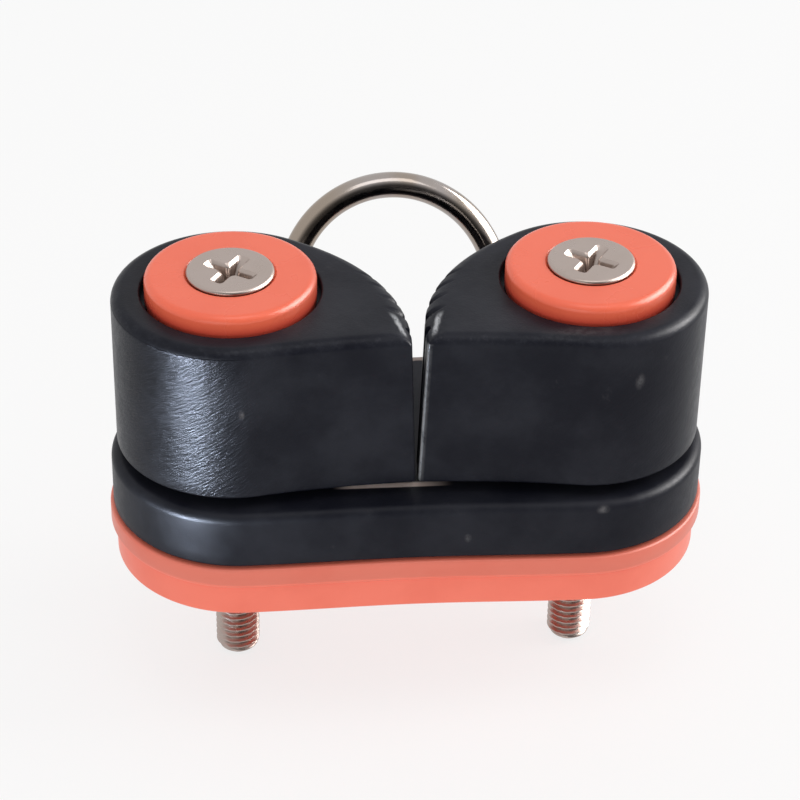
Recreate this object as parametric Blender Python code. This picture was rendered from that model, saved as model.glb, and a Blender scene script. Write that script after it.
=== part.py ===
"""Cam cleat for small lines, with a wire fairlead and a riser pad.

Two toothed cams turn on hollow posts of one moulded base. Each cam runs on two rows of
loose balls, is closed by a torsion spring and is held down by a cap, and one long
countersunk screw clamps each stack of cap, post, base and pad to the deck.

Frame: origin in the middle of the pad's underside, +X along the cleat, +Z up. The line
comes in from +Y through the wire ring and leaves towards -Y, where the cam tips meet.
"""

import bpy
import bmesh
from math import asin, atan2, cos, floor, hypot, pi, radians, sin, tan
from mathutils import Matrix, Vector

mm = 0.001

# Fastening
SCREW_SPACING = 38.0 * mm
SCREW_LENGTH = 50.0 * mm
SCREW_RADIUS = 2.45 * mm
SCREW_TIP_CHAMFER = 0.7 * mm
SCREW_HOLE_CLEARANCE = 0.35 * mm
HEAD_RADIUS = 4.65 * mm
HEAD_RIM = 0.5 * mm
HEAD_PROUD = 0.4 * mm
RECESS_REACH = 2.8 * mm
RECESS_WIDTH = 1.1 * mm
RECESS_DEPTH = 2.2 * mm
RECESS_TURN = radians(57.0)
RECESS_FLOOR_REACH = 0.9 * mm
RECESS_FLOOR_WIDTH = 0.55 * mm

# Riser pad
PAD_THICKNESS = 6.2 * mm
PAD_OVERHANG = 0.35 * mm
PAD_LIP_HEIGHT = 2.1 * mm
PAD_LIP_CHAMFER = 0.6 * mm
PAD_SKIRT_INSET = 0.6 * mm
PAD_EDGE = 0.3 * mm

# Base plate
BASE_END_REACH = 13.3 * mm
BASE_HALF_WIDTH = 13.95 * mm
BASE_THICKNESS = 6.5 * mm
BASE_TOP_EDGE = 1.1 * mm
BASE_BOTTOM_EDGE = 0.3 * mm
BASE_WAIST = 0.4 * mm
TONGUE_REACH = 2.8 * mm
TONGUE_SIDE_GAP = 0.75 * mm
TONGUE_BLEND = 2.2 * mm

# Posts, balls and races
NECK_WALL = 0.9 * mm
NECK_HEIGHT = 1.7 * mm
POST_SHOULDER = 1.1 * mm
BOSS_ENTRY = 0.4 * mm
BOSS_SIDE_GAP = 0.4 * mm
BALL_RADIUS = 2.0 * mm
BALL_CLEARANCE = 0.1 * mm

# Cams
CAM_GAP = 1.4 * mm
CAM_HEIGHT = 18.2 * mm
CAM_HEEL_RADIUS = 12.6 * mm
CAM_TIP_GAP = 0.3 * mm
CAM_TIP_SETBACK = 10.8 * mm
CAM_FLANK_ANGLE = radians(55.0)
CAM_FLANK_DRAFT = radians(3.0)
CAM_FRONT_ANGLE = radians(280.0)
CAM_FRONT_SLOPE = 0.04
CAM_TIP_CORNER = 0.3 * mm
CAM_TOP_EDGE = 1.2 * mm
CAM_BOTTOM_EDGE = 0.35 * mm
CHAMBER_LEDGE = 0.2 * mm
WEB_THICKNESS = 1.0 * mm
WEB_GAP = 0.5 * mm
TOOTH_COUNT = 5
TOOTH_PITCH = 2.6 * mm
TOOTH_WIDTH = 2.2 * mm
TOOTH_DEPTH = 0.9 * mm
TOOTH_LEAN = 0.45 * mm

# Caps
CAP_COVER = 0.05 * mm
CAP_PROUD = 1.9 * mm
CAP_FLANGE = 3.1 * mm
CAP_EDGE = 0.8 * mm
CAP_SIDE_GAP = 0.5 * mm
CAP_UNDER_GAP = 0.2 * mm

# Torsion springs
SPRING_WIRE_RADIUS = 0.5 * mm
SPRING_PITCH = 1.3 * mm
SPRING_END_GAP = 0.4 * mm
SPRING_BEND = 0.8 * mm
SPRING_INNER_REACH = 0.9 * mm
SPRING_OUTER_REACH = 1.6 * mm
SPRING_START_ANGLE = radians(200.0)
SLOT_CLEARANCE = 0.35 * mm

# Stops: a lug under each cam runs in an arc groove of the base
OPENING_ANGLE = radians(50.0)
LUG_RADIUS = 0.9 * mm
LUG_WALL = 0.6 * mm
LUG_ENGAGEMENT = 1.0 * mm
LUG_REST_ANGLE = radians(170.0)

# Wire ring and the grooves that hold its feet
WIRE_RADIUS = 1.5 * mm
RING_RADIUS = 11.85 * mm
RING_LEAN = radians(30.0)
RING_LEG_REACH = 3.35 * mm
RING_LEG_HEIGHT = 7.0 * mm
RING_FOOT_BEND = 3.5 * mm
RING_TOE_BEND = 3.0 * mm
RING_FOOT_LENGTH = 11.0 * mm
RING_TOE_LENGTH = 5.0 * mm
GROOVE_RELIEF = 0.9 * mm

# Fits
SEAT_GAP = 0.3 * mm

# Radii about a post
screw_hole_radius = SCREW_RADIUS + SCREW_HOLE_CLEARANCE
neck_radius = screw_hole_radius + NECK_WALL
post_radius = neck_radius + POST_SHOULDER
ball_space = BALL_RADIUS + BALL_CLEARANCE
ball_pitch = post_radius + ball_space
race_radius = ball_pitch + ball_space
boss_radius = race_radius - BOSS_SIDE_GAP
chamber_radius = ball_pitch - CHAMBER_LEDGE
web_radius = post_radius + WEB_GAP
cap_radius = race_radius + CAP_COVER
cap_recess_radius = cap_radius + CAP_SIDE_GAP
lug_orbit = race_radius + LUG_WALL + LUG_RADIUS
balls_per_row = floor(pi / asin(BALL_RADIUS / ball_pitch))

# Heights, from the deck up
pad_top = PAD_THICKNESS
base_bottom = pad_top + SEAT_GAP
base_top = base_bottom + BASE_THICKNESS
cam_bottom = base_top + CAM_GAP
cam_top = cam_bottom + CAM_HEIGHT
boss_top = cam_bottom + BOSS_ENTRY
cap_top = cam_top + CAP_PROUD
head_top = cap_top + HEAD_PROUD
flange_bottom = cap_top - CAP_FLANGE
recess_floor = flange_bottom - CAP_UNDER_GAP
lower_row = boss_top + ball_space
lower_ceiling = lower_row + ball_space
upper_row = flange_bottom - ball_space
upper_floor = upper_row - ball_space
web_bottom = upper_floor - WEB_THICKNESS
hub_bottom = upper_floor - CAP_UNDER_GAP
post_top = hub_bottom - SEAT_GAP
neck_top = post_top + NECK_HEIGHT

# Plan of the plates
post_x = 0.5 * SCREW_SPACING
base_half_length = post_x + BASE_END_REACH
tongue_shoulder = RING_RADIUS - WIRE_RADIUS - TONGUE_SIDE_GAP

# Spring
coil_radius = 0.5 * (post_radius + chamber_radius)
coil_bottom = lower_ceiling + SPRING_END_GAP + SPRING_WIRE_RADIUS
coil_top = web_bottom - SPRING_END_GAP - SPRING_WIRE_RADIUS
coil_turns = (coil_top - coil_bottom) / SPRING_PITCH
slot_half_width = SPRING_WIRE_RADIUS + SLOT_CLEARANCE

# Where the wire of the ring runs
wire_level = base_bottom + WIRE_RADIUS
leg_setback = BASE_HALF_WIDTH + RING_LEG_REACH
foot_corner_y = leg_setback - (base_top - wire_level) * tan(RING_LEAN)
toe_y = foot_corner_y - RING_FOOT_LENGTH

# Facets: points on each stretch of an outline, path or turned shape
ROUND = 36
FINE = 24
LUG_FACETS = 16
END_POINTS = 18
SIDE_POINTS = 12
BLEND_POINTS = 6
HEEL_POINTS = 30
FRONT_POINTS = 8
FLANK_POINTS = 24
EDGE_STEPS = 3
BEND_STEPS = 5
ARCH_STEPS = 30
GROOVE_STEPS = 14
COIL_POINTS = 14

SIDES = ((-1, "left"), (1, "right"))
MARGIN = 1.0 * mm


def clear_scene():
    """Empty the scene of its objects."""
    for item in list(bpy.data.objects):
        bpy.data.objects.remove(item, do_unlink=True)


def make_material(name, colour, roughness, metallic=0.0):
    """A Principled material of one colour."""
    material = bpy.data.materials.new(name)
    material.use_nodes = True
    shader = material.node_tree.nodes["Principled BSDF"]
    shader.inputs["Base Color"].default_value = (*colour, 1.0)
    shader.inputs["Roughness"].default_value = roughness
    shader.inputs["Metallic"].default_value = metallic
    return material


def add_object(name, mesh, place=(0.0, 0.0, 0.0), parent=None):
    """Link a mesh into the scene as an object of that name."""
    item = bpy.data.objects.new(name, mesh)
    item.location = place
    item.parent = parent
    bpy.context.scene.collection.objects.link(item)
    return item


def finish_mesh(name, bm, smooth_angle=35.0):
    """Turn a bmesh into a mesh with outward faces, smooth but for its sharp edges."""
    bmesh.ops.recalc_face_normals(bm, faces=bm.faces)
    mesh = bpy.data.meshes.new(name)
    bm.to_mesh(mesh)
    bm.free()
    mesh.shade_smooth()
    mesh.set_sharp_from_angle(angle=radians(smooth_angle))
    return mesh


def loft(name, levels):
    """A solid through level outlines of equal point count, capped at both ends."""
    bm = bmesh.new()
    rings = [[bm.verts.new((x, y, z)) for x, y in outline] for outline, z in levels]
    for low, high in zip(rings, rings[1:]):
        for i in range(len(low)):
            j = (i + 1) % len(low)
            bm.faces.new((low[i], low[j], high[j], high[i]))
    bm.faces.new(reversed(rings[0]))
    bm.faces.new(rings[-1])
    return finish_mesh(name, bm)


def lathe(name, profile, segments=ROUND, closed=False):
    """Turn a profile of radius and height about Z. Radius zero makes a pole."""
    bm = bmesh.new()
    columns = []
    for radius, height in profile:
        if radius == 0.0:
            columns.append([bm.verts.new((0.0, 0.0, height))] * segments)
            continue
        turns = [2.0 * pi * k / segments for k in range(segments)]
        columns.append([bm.verts.new((radius * cos(t), radius * sin(t), height)) for t in turns])
    pairs = list(zip(columns, columns[1:]))
    if closed:
        pairs.append((columns[-1], columns[0]))
    for first, second in pairs:
        for k in range(segments):
            n = (k + 1) % segments
            corners = [first[k], first[n], second[n], second[k]]
            bm.faces.new(sorted(set(corners), key=corners.index))
    return finish_mesh(name, bm)


def box(name, low, high):
    """A box between two corners."""
    outline = [(low[0], low[1]), (high[0], low[1]), (high[0], high[1]), (low[0], high[1])]
    return loft(name, [(outline, low[2]), (outline, high[2])])


def cylinder(name, radius, low, high, segments=FINE):
    """A plain cylinder about Z."""
    return lathe(name, [(0.0, low), (radius, low), (radius, high), (0.0, high)], segments)


def post_place(side):
    """Foot of a post's axis."""
    return (side * post_x, 0.0, 0.0)


def screw_holes(name, low, high):
    """Cutter for both screw holes: two cylinders in one mesh."""
    bm = bmesh.new()
    for side, tag in SIDES:
        single = cylinder(name, screw_hole_radius, low, high)
        single.transform(Matrix.Translation(post_place(side)))
        bm.from_mesh(single)
        bpy.data.meshes.remove(single)
    return finish_mesh(name, bm)


def hide(item):
    """Mark an object as a helper that is no piece of the cleat."""
    item.hide_render = True
    item.display_type = 'WIRE'
    return item


def combine(item, helper, operation):
    """Cut or join a helper with an object by a live Boolean modifier."""
    hide(helper)
    modifier = item.modifiers.new(helper.name, 'BOOLEAN')
    modifier.operation = operation
    modifier.solver = 'EXACT'
    modifier.object = helper


def polar(radius, angle):
    """A plan point at a radius and an angle."""
    return (radius * cos(angle), radius * sin(angle))


def smooth_step(value):
    """Rise from 0 to 1 with level ends."""
    t = min(max(value, 0.0), 1.0)
    return t * t * (3.0 - 2.0 * t)


def spread(start, end, count):
    """Evenly spaced values from start up to, but not including, end."""
    return [start + (end - start) * k / count for k in range(count)]


def plate_outline(half_length, half_width, inset=0.0, tongue=0.0):
    """Plan of the base or pad: round ends, waisted sides and a tongue behind the mouth."""
    radius = half_width - inset
    centre = half_length - half_width
    edge = tongue_shoulder - inset
    flat = edge - TONGUE_BLEND

    def side(x):
        return radius - BASE_WAIST * cos(0.5 * pi * x / centre) ** 2

    def rear(x):
        rise = smooth_step((edge - abs(x)) / TONGUE_BLEND)
        return side(x) + tongue * rise

    points = []
    for angle in spread(-0.5 * pi, 0.5 * pi, END_POINTS):
        points.append((centre + radius * cos(angle), radius * sin(angle)))
    stretches = [
        (centre, edge, BLEND_POINTS // 2),
        (edge, flat, BLEND_POINTS),
        (flat, -flat, BLEND_POINTS),
        (-flat, -edge, BLEND_POINTS),
        (-edge, -centre, BLEND_POINTS // 2),
    ]
    for start, end, count in stretches:
        points += [(x, rear(x)) for x in spread(start, end, count)]
    for angle in spread(0.5 * pi, 1.5 * pi, END_POINTS):
        points.append((-centre + radius * cos(angle), radius * sin(angle)))
    points += [(x, -side(x)) for x in spread(-centre, centre, SIDE_POINTS)]
    return points


def round_corner(before, corner, after, radius, steps):
    """Replace a corner of a path by an arc that touches both of its legs."""
    corner = Vector(corner)
    back = (Vector(before) - corner).normalized()
    ahead = (Vector(after) - corner).normalized()
    half = 0.5 * back.angle(ahead)
    reach = radius / tan(half)
    centre = corner + (back + ahead).normalized() * (radius / sin(half))
    start = corner + back * reach - centre
    end = corner + ahead * reach - centre
    sweep = start.angle(end)
    arc = []
    for k in range(steps + 1):
        t = k / steps
        blend = start * sin((1.0 - t) * sweep) + end * sin(t * sweep)
        arc.append(centre + blend / sin(sweep))
    return arc


def cam_flank(angle, heel, tip, tip_angle):
    """Working radius of a cam: it grows with the square of the turn from the flank's start."""
    share = (CAM_FLANK_ANGLE - angle) / (CAM_FLANK_ANGLE - tip_angle)
    return heel + (tip - heel) * share * share


def cam_tip(inset, height):
    """Tip corner of the cam plan at a height, drawn in by an inset and by the flank's draft."""
    draft = (height - cam_bottom) * tan(CAM_FLANK_DRAFT)
    return (post_x - 0.5 * CAM_TIP_GAP - draft - inset, inset - CAM_TIP_SETBACK)


def cam_outline(side, inset, height):
    """Plan of a cam about its own axis at a height, with its nose towards the other cam.

    The heel is a round of constant radius, the flank a growing spiral, and the front a
    shallow hollow curve between the heel and the tip. The flank leans back with height,
    most at the tip and not at all at the heel.
    """
    heel = CAM_HEEL_RADIUS - inset
    tip = cam_tip(inset, height)
    tip_radius = hypot(*tip)
    tip_angle = atan2(tip[1], tip[0])
    heel_angles = spread(CAM_FLANK_ANGLE, CAM_FRONT_ANGLE, HEEL_POINTS)
    points = [polar(heel, angle) for angle in heel_angles]
    start = Vector(polar(heel, CAM_FRONT_ANGLE))
    lead = Vector((-sin(CAM_FRONT_ANGLE), cos(CAM_FRONT_ANGLE)))
    end = Vector(tip)
    third = (end - start).length / 3.0
    arrive = Vector((1.0, CAM_FRONT_SLOPE))
    handles = (start, start + lead * third, end - arrive * third, end)
    for t in spread(0.0, 1.0, FRONT_POINTS):
        weights = ((1 - t) ** 3, 3 * t * (1 - t) ** 2, 3 * t * t * (1 - t), t ** 3)
        point = sum((w * h for w, h in zip(weights, handles)), Vector((0.0, 0.0)))
        points.append((point.x, point.y))
    flank_angles = spread(tip_angle, CAM_FLANK_ANGLE, FLANK_POINTS)[1:]
    flank = [polar(cam_flank(a, heel, tip_radius, tip_angle), a) for a in flank_angles]
    for point in round_corner(points[-1], tip, flank[0], CAM_TIP_CORNER, EDGE_STEPS):
        points.append((point.x, point.y))
    points += flank
    if side > 0:
        points = [(-x, y) for x, y in reversed(points)]
    return points


def edge_levels(low, high, low_edge, high_edge):
    """Insets and heights of a loft with a chamfered lower and a rounded upper edge."""
    levels = [(low_edge, low), (0.0, low + low_edge)]
    for k in range(EDGE_STEPS + 1):
        turn = 0.5 * pi * k / EDGE_STEPS
        inset = high_edge * (1.0 - cos(turn))
        levels.append((inset, high - high_edge * (1.0 - sin(turn))))
    return levels


def groove_plans(side, height):
    """Plans of the tooth grooves at a height, a pitch apart along the flank from the tip."""
    tip = cam_tip(0.0, height)
    tip_radius = hypot(*tip)
    tip_angle = atan2(tip[1], tip[0])
    half = 0.5 * TOOTH_WIDTH
    outside = 0.5 * TOOTH_DEPTH
    step = radians(0.05)
    plans = []
    angle = tip_angle
    travelled = 0.0
    here = Vector(tip)
    while len(plans) < TOOTH_COUNT and angle < CAM_FLANK_ANGLE:
        angle += step
        there = Vector(polar(cam_flank(angle, CAM_HEEL_RADIUS, tip_radius, tip_angle), angle))
        travelled += (there - here).length
        along = (there - here).normalized()
        here = there
        if travelled < TOOTH_PITCH:
            continue
        travelled = 0.0
        inward = Vector((-along.y, along.x))
        plan = [
            here - along * half - inward * outside,
            here - along * TOOTH_LEAN + inward * TOOTH_DEPTH,
            here + along * half - inward * outside,
        ]
        if side > 0:
            plan = [Vector((-p.x, p.y)) for p in reversed(plan)]
        plans.append(plan)
    return plans


def tooth_cutter(side):
    """V grooves along a cam's flank, steep towards the tail of the line and in draft with it."""
    bottom = cam_bottom - MARGIN
    top = cam_top + MARGIN
    bm = bmesh.new()
    for lower, upper in zip(groove_plans(side, bottom), groove_plans(side, top)):
        low = [bm.verts.new((p.x, p.y, bottom)) for p in lower]
        high = [bm.verts.new((p.x, p.y, top)) for p in upper]
        for i in range(3):
            j = (i + 1) % 3
            bm.faces.new((low[i], low[j], high[j], high[i]))
        bm.faces.new(reversed(low))
        bm.faces.new(high)
    return finish_mesh("tooth_grooves", bm)


def arc_groove(name, start, end):
    """Cutter for a stop groove between two angles about a post."""
    inner = lug_orbit - LUG_RADIUS - SLOT_CLEARANCE
    outer = lug_orbit + LUG_RADIUS + SLOT_CLEARANCE
    angles = spread(start, end, GROOVE_STEPS) + [end]
    outline = [polar(outer, a) for a in angles] + [polar(inner, a) for a in reversed(angles)]
    floor_height = base_top - LUG_ENGAGEMENT - SLOT_CLEARANCE
    return loft(name, [(outline, floor_height), (outline, base_top + MARGIN)])


def turned_box(name, angle, near, far, offset, low, high):
    """A box that runs outwards at an angle, as wide as the spring's slots."""
    ahead = Vector((cos(angle), sin(angle)))
    across = Vector((-sin(angle), cos(angle)))
    corners = [(near, -1), (far, -1), (far, 1), (near, 1)]
    outline = []
    for reach, sign in corners:
        point = ahead * reach + across * (offset + sign * slot_half_width)
        outline.append((point.x, point.y))
    return loft(name, [(outline, low), (outline, high)])


def spring_angles(side):
    """Angles of a spring's inner and outer legs, and the hand of its coil."""
    start = SPRING_START_ANGLE if side < 0 else pi - SPRING_START_ANGLE
    hand = 1.0 if side < 0 else -1.0
    return start, start + hand * 2.0 * pi * coil_turns, hand


def build_pad(material):
    """Riser pad: a lip under the base, a chamfer below it and an inset skirt."""
    length = base_half_length + PAD_OVERHANG
    width = BASE_HALF_WIDTH + PAD_OVERHANG
    lip_bottom = pad_top - PAD_LIP_HEIGHT

    def outline(inset):
        return plate_outline(length, width, inset)

    levels = [
        (outline(PAD_SKIRT_INSET + PAD_EDGE), 0.0),
        (outline(PAD_SKIRT_INSET), PAD_EDGE),
        (outline(PAD_SKIRT_INSET), lip_bottom - PAD_LIP_CHAMFER),
        (outline(0.0), lip_bottom),
        (outline(0.0), pad_top - PAD_EDGE),
        (outline(PAD_EDGE), pad_top),
    ]
    pad = add_object("riser_pad", loft("riser_pad", levels))
    pad.data.materials.append(material)
    holes = screw_holes("pad_holes", -MARGIN, pad_top + MARGIN)
    combine(pad, add_object("cut_pad_holes", holes), 'DIFFERENCE')


def build_base(material):
    """Base plate with its two hollow posts, stop grooves, spring keyways and wire grooves."""

    def outline(inset):
        return plate_outline(base_half_length, BASE_HALF_WIDTH, inset, TONGUE_REACH)

    edges = edge_levels(base_bottom, base_top, BASE_BOTTOM_EDGE, BASE_TOP_EDGE)
    levels = [(outline(inset), height) for inset, height in edges]
    base = add_object("base_plate", loft("base_plate", levels))
    base.data.materials.append(material)
    post_profile = [
        (0.0, base_top - 2.0 * MARGIN),
        (boss_radius, base_top - 2.0 * MARGIN),
        (boss_radius, boss_top),
        (post_radius, boss_top),
        (post_radius, post_top),
        (neck_radius, post_top),
        (neck_radius, neck_top),
        (0.0, neck_top),
    ]
    for side, tag in SIDES:
        post = lathe("post", post_profile)
        combine(base, add_object("join_post_" + tag, post, post_place(side)), 'UNION')
    slack = (LUG_RADIUS + SLOT_CLEARANCE) / lug_orbit
    key_floor = coil_bottom - slot_half_width
    key_root = post_radius - SPRING_INNER_REACH - SLOT_CLEARANCE
    for side, tag in SIDES:
        place = post_place(side)
        rest = LUG_REST_ANGLE if side < 0 else pi - LUG_REST_ANGLE
        opened = rest + side * OPENING_ANGLE
        low, high = min(rest, opened) - slack, max(rest, opened) + slack
        groove = arc_groove("stop_groove", low, high)
        combine(base, add_object("cut_stop_" + tag, groove, place), 'DIFFERENCE')
        start = spring_angles(side)[0]
        key = turned_box("keyway", start, key_root, boss_radius, 0.0, key_floor, neck_top + MARGIN)
        combine(base, add_object("cut_keyway_" + tag, key, place), 'DIFFERENCE')
        for name, low, high in foot_groove_boxes(side):
            combine(base, add_object(name, box(name, low, high)), 'DIFFERENCE')
    holes = screw_holes("post_holes", base_bottom - MARGIN, neck_top + MARGIN)
    combine(base, add_object("cut_post_holes", holes), 'DIFFERENCE')


def foot_groove_boxes(side):
    """Boxes that cut the wire's grooves in the base's underside and its exit at the rear."""
    tag = "left" if side < 0 else "right"
    half = WIRE_RADIUS + SEAT_GAP
    relief = half + GROOVE_RELIEF
    inner = RING_RADIUS - half
    outer = RING_RADIUS + half
    corner_inner = RING_RADIUS - relief
    toe_inner = inner - RING_TOE_LENGTH
    rear = BASE_HALF_WIDTH + MARGIN
    exit_y = foot_corner_y - RING_FOOT_BEND
    ceiling = wire_level + half
    exit_ceiling = ceiling + RING_FOOT_BEND * (1.0 - cos(RING_LEAN)) + SEAT_GAP
    spans = [
        ("cut_corner_", corner_inner, RING_RADIUS, toe_y, toe_y + relief, ceiling),
        ("cut_foot_", inner, outer, toe_y - half, rear, ceiling),
        ("cut_toe_", toe_inner, outer, toe_y - half, toe_y + half, ceiling),
        ("cut_exit_", inner, outer, exit_y, rear, exit_ceiling),
    ]
    boxes = []
    for name, near, far, front, back, top in spans:
        xs = sorted((side * near, side * far))
        boxes.append((name + tag, (xs[0], front, base_bottom - MARGIN), (xs[1], back, top)))
    return boxes


def ring_half_path(side):
    """One half of the wire: toe, foot, rising bend and leg, up to the start of the arch."""
    lean = Vector((0.0, sin(RING_LEAN), cos(RING_LEAN)))
    toe_end = Vector((side * (RING_RADIUS - RING_TOE_LENGTH), toe_y, wire_level))
    toe_corner = Vector((side * RING_RADIUS, toe_y, wire_level))
    foot_corner = Vector((side * RING_RADIUS, foot_corner_y, wire_level))
    leg_top = Vector((side * RING_RADIUS, leg_setback, base_top)) + lean * RING_LEG_HEIGHT
    points = [toe_end]
    points += round_corner(toe_end, toe_corner, foot_corner, RING_TOE_BEND, BEND_STEPS)
    points += round_corner(toe_corner, foot_corner, leg_top, RING_FOOT_BEND, BEND_STEPS)
    points.append((points[-1] + leg_top) * 0.5)
    return points, leg_top


def tube(name, points, radius, resolution):
    """A round wire along a path, with closed ends."""
    curve = bpy.data.curves.new(name, 'CURVE')
    curve.dimensions = '3D'
    curve.bevel_depth = radius
    curve.bevel_resolution = resolution
    curve.use_fill_caps = True
    spline = curve.splines.new('POLY')
    spline.points.add(len(points) - 1)
    for slot, point in zip(spline.points, points):
        slot.co = (point[0], point[1], point[2], 1.0)
    spline.use_smooth = True
    return curve


def build_ring(material):
    """Wire fairlead: an arch that leans away from the cams, with feet clamped under the base."""
    left, left_top = ring_half_path(-1)
    right, right_top = ring_half_path(1)
    centre = (left_top + right_top) * 0.5
    along = Vector((-RING_RADIUS, 0.0, 0.0))
    up = Vector((0.0, sin(RING_LEAN), cos(RING_LEAN))) * RING_RADIUS
    arch = []
    for k in range(ARCH_STEPS + 1):
        turn = pi * k / ARCH_STEPS
        arch.append(centre + along * cos(turn) + up * sin(turn))
    path = left + arch + list(reversed(right))
    ring = add_object("fairlead_ring", tube("fairlead_ring", path, WIRE_RADIUS, 3))
    ring.data.materials.append(material)


def build_cam(side, name, material):
    """One cam: toothed body, stepped bore for balls and cap, spring slot and stop lug."""
    place = post_place(side)
    edges = edge_levels(cam_bottom, cam_top, CAM_BOTTOM_EDGE, CAM_TOP_EDGE)
    levels = [(cam_outline(side, inset, height), height) for inset, height in edges]
    cam = add_object(name, loft(name, levels), place)
    cam.data.materials.append(material)
    bore_profile = [
        (0.0, cam_bottom - MARGIN),
        (race_radius, cam_bottom - MARGIN),
        (race_radius, lower_ceiling),
        (chamber_radius, lower_ceiling),
        (chamber_radius, web_bottom),
        (web_radius, web_bottom),
        (web_radius, upper_floor),
        (race_radius, upper_floor),
        (race_radius, recess_floor),
        (cap_recess_radius, recess_floor),
        (cap_recess_radius, cam_top + MARGIN),
        (0.0, cam_top + MARGIN),
    ]
    combine(cam, add_object("cut_bore_" + name, lathe("bore", bore_profile), place), 'DIFFERENCE')
    combine(cam, add_object("cut_teeth_" + name, tooth_cutter(side), place), 'DIFFERENCE')
    start, end, hand = spring_angles(side)
    slot_end = chamber_radius + SPRING_OUTER_REACH + SLOT_CLEARANCE
    slot_top = coil_top + slot_half_width
    offset = hand * SPRING_BEND
    slot = turned_box("spring_slot", end, coil_radius, slot_end, offset, lower_row, slot_top)
    combine(cam, add_object("cut_slot_" + name, slot, place), 'DIFFERENCE')
    rest = LUG_REST_ANGLE if side < 0 else pi - LUG_REST_ANGLE
    lug_x, lug_y = polar(lug_orbit, rest)
    lug_bottom = base_top - LUG_ENGAGEMENT
    lug = cylinder("stop_lug", LUG_RADIUS, lug_bottom, cam_bottom + MARGIN, LUG_FACETS)
    combine(cam, add_object("join_lug_" + name, lug, (place[0] + lug_x, lug_y, 0.0)), 'UNION')


def build_cap(side, name, material):
    """Cap: a flange with a rounded rim, a hub that seats on the post and a countersink."""
    sink_gap = SEAT_GAP / cos(0.25 * pi)
    sink_radius = HEAD_RADIUS + HEAD_RIM - HEAD_PROUD + sink_gap
    sink_depth = sink_radius - screw_hole_radius
    bore_radius = neck_radius + SEAT_GAP
    profile = [
        (screw_hole_radius, neck_top + SEAT_GAP),
        (bore_radius, neck_top + SEAT_GAP),
        (bore_radius, hub_bottom),
        (post_radius, hub_bottom),
        (post_radius, flange_bottom),
        (cap_radius, flange_bottom),
    ]
    for k in range(BEND_STEPS):
        turn = 0.5 * pi * k / (BEND_STEPS - 1)
        radius = cap_radius - CAP_EDGE * (1.0 - cos(turn))
        profile.append((radius, cap_top - CAP_EDGE * (1.0 - sin(turn))))
    profile.append((sink_radius, cap_top))
    profile.append((screw_hole_radius, cap_top - sink_depth))
    cap = add_object(name, lathe(name, profile, closed=True), post_place(side))
    cap.data.materials.append(material)


def build_screw(side, name, material):
    """Countersunk screw with a cross recess."""
    tip = head_top - SCREW_LENGTH
    cone_top = head_top - HEAD_RIM
    cone_bottom = cone_top - (HEAD_RADIUS - SCREW_RADIUS)
    profile = [
        (0.0, tip),
        (SCREW_RADIUS - SCREW_TIP_CHAMFER, tip),
        (SCREW_RADIUS, tip + SCREW_TIP_CHAMFER),
        (SCREW_RADIUS, cone_bottom),
        (HEAD_RADIUS, cone_top),
        (HEAD_RADIUS, head_top),
        (0.0, head_top),
    ]
    screw = add_object(name, lathe(name, profile, FINE), post_place(side))
    screw.data.materials.append(material)
    cutter = add_object("cut_recess_" + name, cross_cutter(), post_place(side))
    cutter.rotation_euler.z = RECESS_TURN
    combine(screw, cutter, 'DIFFERENCE')


def cross_cutter():
    """A cross that tapers downwards, for the recess in a screw head."""

    def cross(reach, width):
        half = 0.5 * width
        quarter = [(reach, -half), (reach, half), (half, half)]
        points = quarter + [(-y, x) for x, y in quarter]
        return points + [(-x, -y) for x, y in points]

    levels = [
        (cross(RECESS_FLOOR_REACH, RECESS_FLOOR_WIDTH), head_top - RECESS_DEPTH),
        (cross(RECESS_REACH, RECESS_WIDTH), head_top),
        (cross(RECESS_REACH, RECESS_WIDTH), head_top + MARGIN),
    ]
    return loft("cross_recess", levels)


def build_spring(side, name, material):
    """Torsion spring: its inner leg sits in the post's keyway, its outer leg in the cam."""
    start, end, hand = spring_angles(side)
    bend_angle = SPRING_BEND / coil_radius
    ahead = Vector((cos(start), sin(start), 0.0))
    across = Vector((-sin(start), cos(start), 0.0)) * hand
    inner_end = post_radius - SPRING_INNER_REACH
    rise = Vector((0.0, 0.0, coil_bottom))
    points = [ahead * inner_end + rise]
    for k in range(EDGE_STEPS + 1):
        turn = 0.5 * pi * k / EDGE_STEPS
        reach = coil_radius - SPRING_BEND * (1.0 - sin(turn))
        points.append(ahead * reach + across * SPRING_BEND * (1.0 - cos(turn)) + rise)
    total = abs(end - start) - bend_angle
    count = round(total / (2.0 * pi) * COIL_POINTS)
    for k in range(1, count + 1):
        turn = start + hand * (bend_angle + total * k / count)
        height = coil_bottom + (coil_top - coil_bottom) * k / count
        points.append(Vector((coil_radius * cos(turn), coil_radius * sin(turn), height)))
    ahead = Vector((cos(end), sin(end), 0.0))
    across = Vector((-sin(end), cos(end), 0.0)) * hand
    rise = Vector((0.0, 0.0, coil_top))
    for k in range(1, EDGE_STEPS + 1):
        turn = 0.5 * pi * k / EDGE_STEPS
        reach = coil_radius + SPRING_BEND * (1.0 - cos(turn))
        points.append(ahead * reach + across * SPRING_BEND * sin(turn) + rise)
    outer_end = chamber_radius + SPRING_OUTER_REACH
    points.append(ahead * outer_end + across * SPRING_BEND + rise)
    spring = add_object(name, tube(name, points, SPRING_WIRE_RADIUS, 1), post_place(side))
    spring.data.materials.append(material)


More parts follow.
